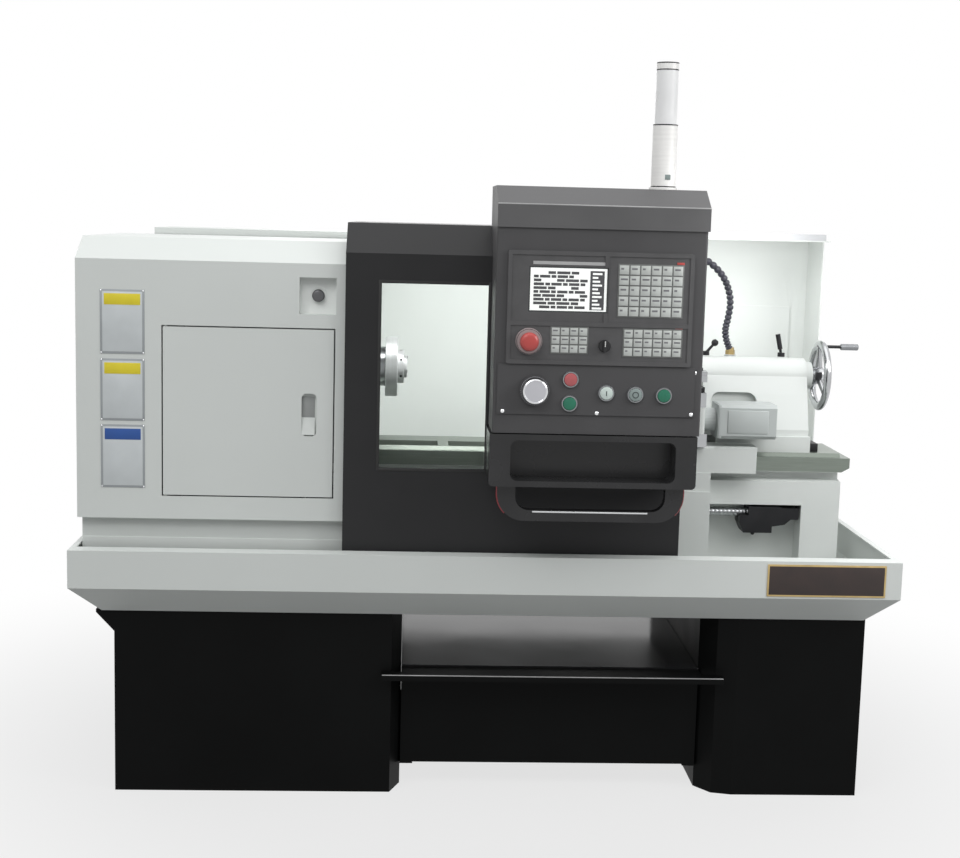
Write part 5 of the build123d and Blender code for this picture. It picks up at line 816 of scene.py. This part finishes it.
# Handwheel with a rounded rim, in the place of the flat one
wheel_low, wheel_high = extent("tailstock_handwheel")
grip_low, grip_high = extent("crank_grip")
WHEEL_FACE, WHEEL_RADIUS, RIM, RIM_DEPTH = 847.3, (wheel_high.z - wheel_low.z) / 2, 22.0, 18.0
HUB_START, HUB_RADIUS, HUB_LONG, NUT_RADIUS, NUT_LONG = 813.3, 22.0, 34.0, 11.0, 9.0
CRANK_Z, GRIP_LONG, SPOKES, RIM_STEPS = (grip_low.z + grip_high.z) / 2, grip_high.x - grip_low.x, 3, 16


def handwheel(bm):
    rim_back = WHEEL_FACE - RIM_DEPTH
    middle, half, deep = WHEEL_RADIUS - RIM / 2, RIM / 2, RIM_DEPTH / 2
    turns = [math.pi * 2 * k / RIM_STEPS for k in range(RIM_STEPS + 1)]
    rim = [(deep - deep * math.cos(a), middle + half * math.sin(a)) for a in turns]
    lathe(bm, (rim_back, AXIS_Y, AXIS_Z), ALONG_X, rim, 72)
    lathe(bm, (HUB_START, AXIS_Y, AXIS_Z), ALONG_X,
          ((0, 0), (0, HUB_RADIUS - 3), (3, HUB_RADIUS), (HUB_LONG - 4, HUB_RADIUS),
           (HUB_LONG, HUB_RADIUS - 4), (HUB_LONG, 0)), 40)
    for spoke in range(SPOKES):
        out = radial(90 + 360 / SPOKES * spoke)
        foot = Vector((rim_back + 6, AXIS_Y, AXIS_Z))
        rod(bm, foot + out * 15, foot + out * (WHEEL_RADIUS - RIM * 0.7), 9, 7, segments=20)
    rod(bm, (wheel_low.x, AXIS_Y, AXIS_Z), (HUB_START + 1, AXIS_Y, AXIS_Z), 9)


wheel_polish = surface("wheel_polish", (0.47, 0.48, 0.49), 0.10, 0.16, 0.05, metal=1.0, scale=14)
grip_steel = surface("grip_steel", (0.26, 0.27, 0.28), 0.10, 0.3, 0.05, metal=0.8, scale=20)


def crank_pin(bm):
    hub_end, hub_side = HUB_START + HUB_LONG, AXIS_Y - HUB_RADIUS
    rod(bm, (WHEEL_FACE - RIM_DEPTH, AXIS_Y, CRANK_Z), (wheel_high.x, AXIS_Y, CRANK_Z), 4, segments=16)
    rod(bm, (hub_end - 1, AXIS_Y, AXIS_Z), (hub_end + NUT_LONG, AXIS_Y, AXIS_Z), NUT_RADIUS, segments=6)
    box(bm, (HUB_START + 9, hub_side - 3, AXIS_Z - 9), (HUB_START + 25, hub_side + 6, AXIS_Z + 10), 1.0)


piece("handwheel_rim", "handwheel", wheel_polish, handwheel, ("tailstock_handwheel",))
plain("crank_pin", "handwheel", "dark_steel", crank_pin)
piece("crank_sleeve", "crank_grip", grip_steel,
      lambda bm: lathe(bm, (grip_low.x, AXIS_Y, CRANK_Z), ALONG_X,
                       ((0, 4.1), (0, 6.5), (1.5, 8), (GRIP_LONG - 1.5, 8), (GRIP_LONG, 6.5),
                        (GRIP_LONG, 4.1)), 28), ("crank_grip",))

# Turret: square tools in the slots and their clamp screws, and a panel on the motor
head_low, head_high = extent("turret_head")
TURRET = Vector(((head_low.x + head_high.x) / 2, (head_low.y + head_high.y) / 2, 0))
HEAD_HALF, HEAD_TOP, TOOL_Z = (head_high.x - head_low.x) / 2, 985.3, 936.0
STATIONS, TOOL_SIZE = 4, (112, 20, 20)
CLAMP_SCREW = ((0, 6.5), (6, 6.5), (7, 5.5), (7, 3), (4, 3), (4, 0))


def station_turn(step):
    return Matrix.Rotation(2 * math.pi / STATIONS * step, 3, "Z")


def around_turret(step, along, across, z):
    return TURRET + station_turn(step) @ Vector((along, across, 0)) + Vector((0, 0, z))


def tools(bm):
    for step in range(STATIONS):
        verts = bmesh.ops.create_cube(bm, size=1.0)["verts"]
        bmesh.ops.scale(bm, vec=TOOL_SIZE, verts=verts)
        bmesh.ops.rotate(bm, cent=(0, 0, 0), matrix=station_turn(step), verts=verts)
        bmesh.ops.translate(bm, vec=around_turret(step, -6, HEAD_HALF - 11, TOOL_Z), verts=verts)


def clamp_screws(bm):
    for step in range(STATIONS):
        for along in (-40, 0, 40):
            lathe(bm, around_turret(step, along, HEAD_HALF - 12, HEAD_TOP), UP, CLAMP_SCREW, 18)


plain("turret_tools", "turret", "dark_steel", tools)
plain("clamp_screws", "turret", "dark_steel", clamp_screws)
motor_low, motor_high = extent("turret_motor")
piece("motor_panel", "cross_slide", motor_grey,
      lambda bm: box(bm, (motor_high.x - 118, motor_low.y - 2, motor_low.z + 14),
                     (motor_high.x - 20, motor_low.y + 2, motor_high.z - 14), 1.5))
piece("motor_flange", "cross_slide", motor_grey,
      lambda bm: box(bm, (motor_high.x - 142, motor_low.y + 1, motor_low.z + 1),
                     (motor_high.x - 132, motor_high.y - 1, motor_high.z - 1), 2))

# Cabinet door: hinges, and a hood over each louvre slot
door_low, door_high = extent("cabinet_door")
LATCH_REACH, HINGE_HALF, HINGE_RADIUS = 8.0, 30.0, 5.0
DOOR_FACE = door_high.y - LATCH_REACH
LOUVRE_WIDE, LOUVRE_TALL, LOUVRE_PITCH, LOUVRES, LOUVRE_MARGIN = 180.0, 8.0, 22.0, 6, 120.0


def cabinet_hinges(bm):
    x, y = door_low.x - 3, DOOR_FACE - 6
    for share in (0.15, 0.5, 0.85):
        z = door_low.z + share * (door_high.z - door_low.z)
        rod(bm, (x, y, z - HINGE_HALF), (x, y, z + HINGE_HALF), HINGE_RADIUS, segments=16)


def louvre_hoods(bm):
    middle, half = (door_low.x + door_high.x) / 2, LOUVRE_WIDE / 2 + 3
    for level in (door_low.z + LOUVRE_MARGIN, door_high.z - LOUVRE_MARGIN):
        for number in range(LOUVRES):
            foot = level + (number - (LOUVRES - 1) / 2) * LOUVRE_PITCH + LOUVRE_TALL / 2
            box(bm, (middle - half, DOOR_FACE - 0.5, foot - 1), (middle + half, DOOR_FACE + 5, foot + 4), 2.2)


plain("cabinet_hinges", "base", "alloy", cabinet_hinges)
plain("louvre_hoods", "cabinet_door", "white_paint", louvre_hoods)

# Screws along the back of the rear guard
rear_low, rear_high = extent("rear_guard")
REAR_SCREWS, REAR_MARGIN, BACK = 7, 40.0, (0, 1, 0)
REAR_SCREW = ((0, 5.5), (1.4, 4.9), (2.6, 3.3), (2.6, 2.2), (1.2, 2.0), (1.2, 0))


def rear_screws(bm):
    run = rear_high.x - rear_low.x - 2 * REAR_MARGIN
    for z in (rear_low.z + REAR_MARGIN, rear_high.z - REAR_MARGIN):
        for number in range(REAR_SCREWS):
            x = rear_low.x + REAR_MARGIN + run * number / (REAR_SCREWS - 1)
            lathe(bm, (x, rear_high.y, z), BACK, REAR_SCREW, 18)


piece("rear_screws", "base", materials["alloy"], rear_screws)


# Floor, light and camera, in metres
def seen_rays(tree):
    """One for the rays that show the background: the camera's, those through glass and those off metal."""
    new, link = tree.nodes.new, tree.links.new
    path = new("ShaderNodeLightPath")
    seen = path.outputs["Is Camera Ray"]
    for ray in ("Is Transmission Ray", "Is Glossy Ray"):
        either = new("ShaderNodeMath")
        either.operation = "MAXIMUM"
        link(seen, either.inputs[0])
        link(path.outputs[ray], either.inputs[1])
        seen = either.outputs[0]
    return seen


# The floor keeps the machine's shadow near its feet and fades to the white of the background further out
FLOOR_HALF, FADE_START, FADE_END, WHITE_SHARE = 12.0, 0.7, 2.2, 0.74
floor_mesh = bpy.data.meshes.new("floor")
floor_corners = [(x * FLOOR_HALF, y * FLOOR_HALF, 0) for x, y in ((-1, -1), (1, -1), (1, 1), (-1, 1))]
floor_mesh.from_pydata(floor_corners, [], [(0, 1, 2, 3)])
pale_floor = surface("pale_floor", (0.30, 0.30, 0.30), 0.01, 0.8, 0.05, scale=2, specular=0.0)
floor_mesh.materials.append(pale_floor)
floor_tree = pale_floor.node_tree
new, link = floor_tree.nodes.new, floor_tree.links.new
floor_place = new("ShaderNodeTexCoord")
floor_far = new("ShaderNodeVectorMath")
floor_far.operation = "LENGTH"
link(floor_place.outputs["Object"], floor_far.inputs[0])
floor_fade = new("ShaderNodeMapRange")
floor_fade.interpolation_type = "SMOOTHSTEP"
floor_fade.inputs["From Min"].default_value = FADE_START
floor_fade.inputs["From Max"].default_value = FADE_END
floor_fade.inputs["To Min"].default_value = WHITE_SHARE
link(floor_far.outputs["Value"], floor_fade.inputs["Value"])
floor_share = new("ShaderNodeMath")
floor_share.operation = "MULTIPLY"
link(floor_fade.outputs["Result"], floor_share.inputs[0])
link(seen_rays(floor_tree), floor_share.inputs[1])
floor_white = new("ShaderNodeEmission")
floor_mix = new("ShaderNodeMixShader")
link(floor_share.outputs[0], floor_mix.inputs["Fac"])
link(floor_tree.nodes["Principled BSDF"].outputs[0], floor_mix.inputs[1])
link(floor_white.outputs[0], floor_mix.inputs[2])
link(floor_mix.outputs[0], floor_tree.nodes["Material Output"].inputs["Surface"])
floor = bpy.data.objects.new("floor", floor_mesh)
bpy.context.scene.collection.objects.link(floor)

# A sky that is bright overhead and dim at the horizon; the camera sees plain white behind the machine
HORIZON, SKY_DIM, SKY_BRIGHT = -0.05, 0.22, 0.85
world = bpy.data.worlds.new("studio")
bpy.context.scene.world = world
world.use_nodes = True
tree = world.node_tree
tree.nodes.clear()
new, link = tree.nodes.new, tree.links.new
out = new("ShaderNodeOutputWorld")
place = new("ShaderNodeTexCoord")
split = new("ShaderNodeSeparateXYZ")
height = new("ShaderNodeMapRange")
height.inputs["From Min"].default_value = HORIZON
height.inputs["To Min"].default_value = SKY_DIM
height.inputs["To Max"].default_value = SKY_BRIGHT
link(place.outputs["Generated"], split.inputs["Vector"])
link(split.outputs["Z"], height.inputs["Value"])
ambient = new("ShaderNodeBackground")
ambient.inputs["Color"].default_value = (0.97, 0.99, 1.0, 1.0)
link(height.outputs["Result"], ambient.inputs["Strength"])
seen = new("ShaderNodeBackground")
seen.inputs["Color"].default_value = (1.0, 1.0, 1.0, 1.0)
mix = new("ShaderNodeMixShader")
link(seen_rays(tree), mix.inputs["Fac"])
link(ambient.outputs[0], mix.inputs[1])
link(seen.outputs[0], mix.inputs[2])
link(mix.outputs[0], out.inputs["Surface"])


def lamp(name, place, target, size, power):
    data = bpy.data.lights.new(name, "AREA")
    data.shape = "RECTANGLE"
    data.size, data.size_y = size
    data.energy = power
    obj = bpy.data.objects.new(name, data)
    obj.location = place
    obj.rotation_mode = "QUATERNION"
    obj.rotation_quaternion = (Vector(target) - Vector(place)).to_track_quat("-Z", "Y")
    obj.visible_camera = False
    bpy.context.scene.collection.objects.link(obj)


lamp("key_light", (-1.8, -3.2, 3.8), (0, 0, 0.8), (2.6, 2.0), 58)
lamp("side_light", (2.9, -1.8, 2.4), (0.5, 0, 0.9), (1.6, 1.6), 41)
lamp("top_light", (0.2, -0.6, 4.6), (0.1, -0.6, 0), (5.0, 4.0), 55)
lamp("back_light", (0.5, 3.8, 2.8), (0, 0, 0.8), (3.0, 2.0), 30)
lamp("work_light", (0.05, -0.12, 1.23), (0.05, 0.3, 0.92), (0.6, 0.10), 4.0)
lamp("right_work_light", (0.66, 0.14, 1.22), (0.66, 0.48, 1.0), (0.4, 0.1), 0.85)
lamp("tail_light", (0.80, -0.60, 1.35), (0.70, 0.0, 0.75), (0.5, 0.3), 1.7)

# The camera stands where the photograph was taken, and looks down, a little to the right and a little rolled
CAMERA_PLACE, FOCAL_LENGTH, SENSOR = (-0.1995, -3.795, 1.333), 57.75, 36.0
PITCH, YAW, ROLL = (math.radians(a) for a in (7.80, 2.85, 1.507))
base = Matrix(((1, 0, 0), (0, 0, -1), (0, 1, 0)))
tilt = Matrix(((1, 0, 0), (0, math.cos(PITCH), -math.sin(PITCH)), (0, math.sin(PITCH), math.cos(PITCH))))
swing = Matrix(((math.cos(YAW), 0, -math.sin(YAW)), (0, 1, 0), (math.sin(YAW), 0, math.cos(YAW))))
roll = Matrix(((math.cos(ROLL), -math.sin(ROLL), 0), (math.sin(ROLL), math.cos(ROLL), 0), (0, 0, 1)))
right, down, ahead = roll @ tilt @ swing @ base
camera_data = bpy.data.cameras.new("camera")
camera_data.lens = FOCAL_LENGTH
camera_data.sensor_width = SENSOR
camera = bpy.data.objects.new("camera", camera_data)
axes = Matrix((right, -down, -ahead)).transposed()
camera.matrix_world = Matrix.Translation(CAMERA_PLACE) @ axes.to_4x4()
bpy.context.scene.collection.objects.link(camera)
bpy.context.scene.camera = camera
bpy.context.scene.view_settings.view_transform = "Standard"
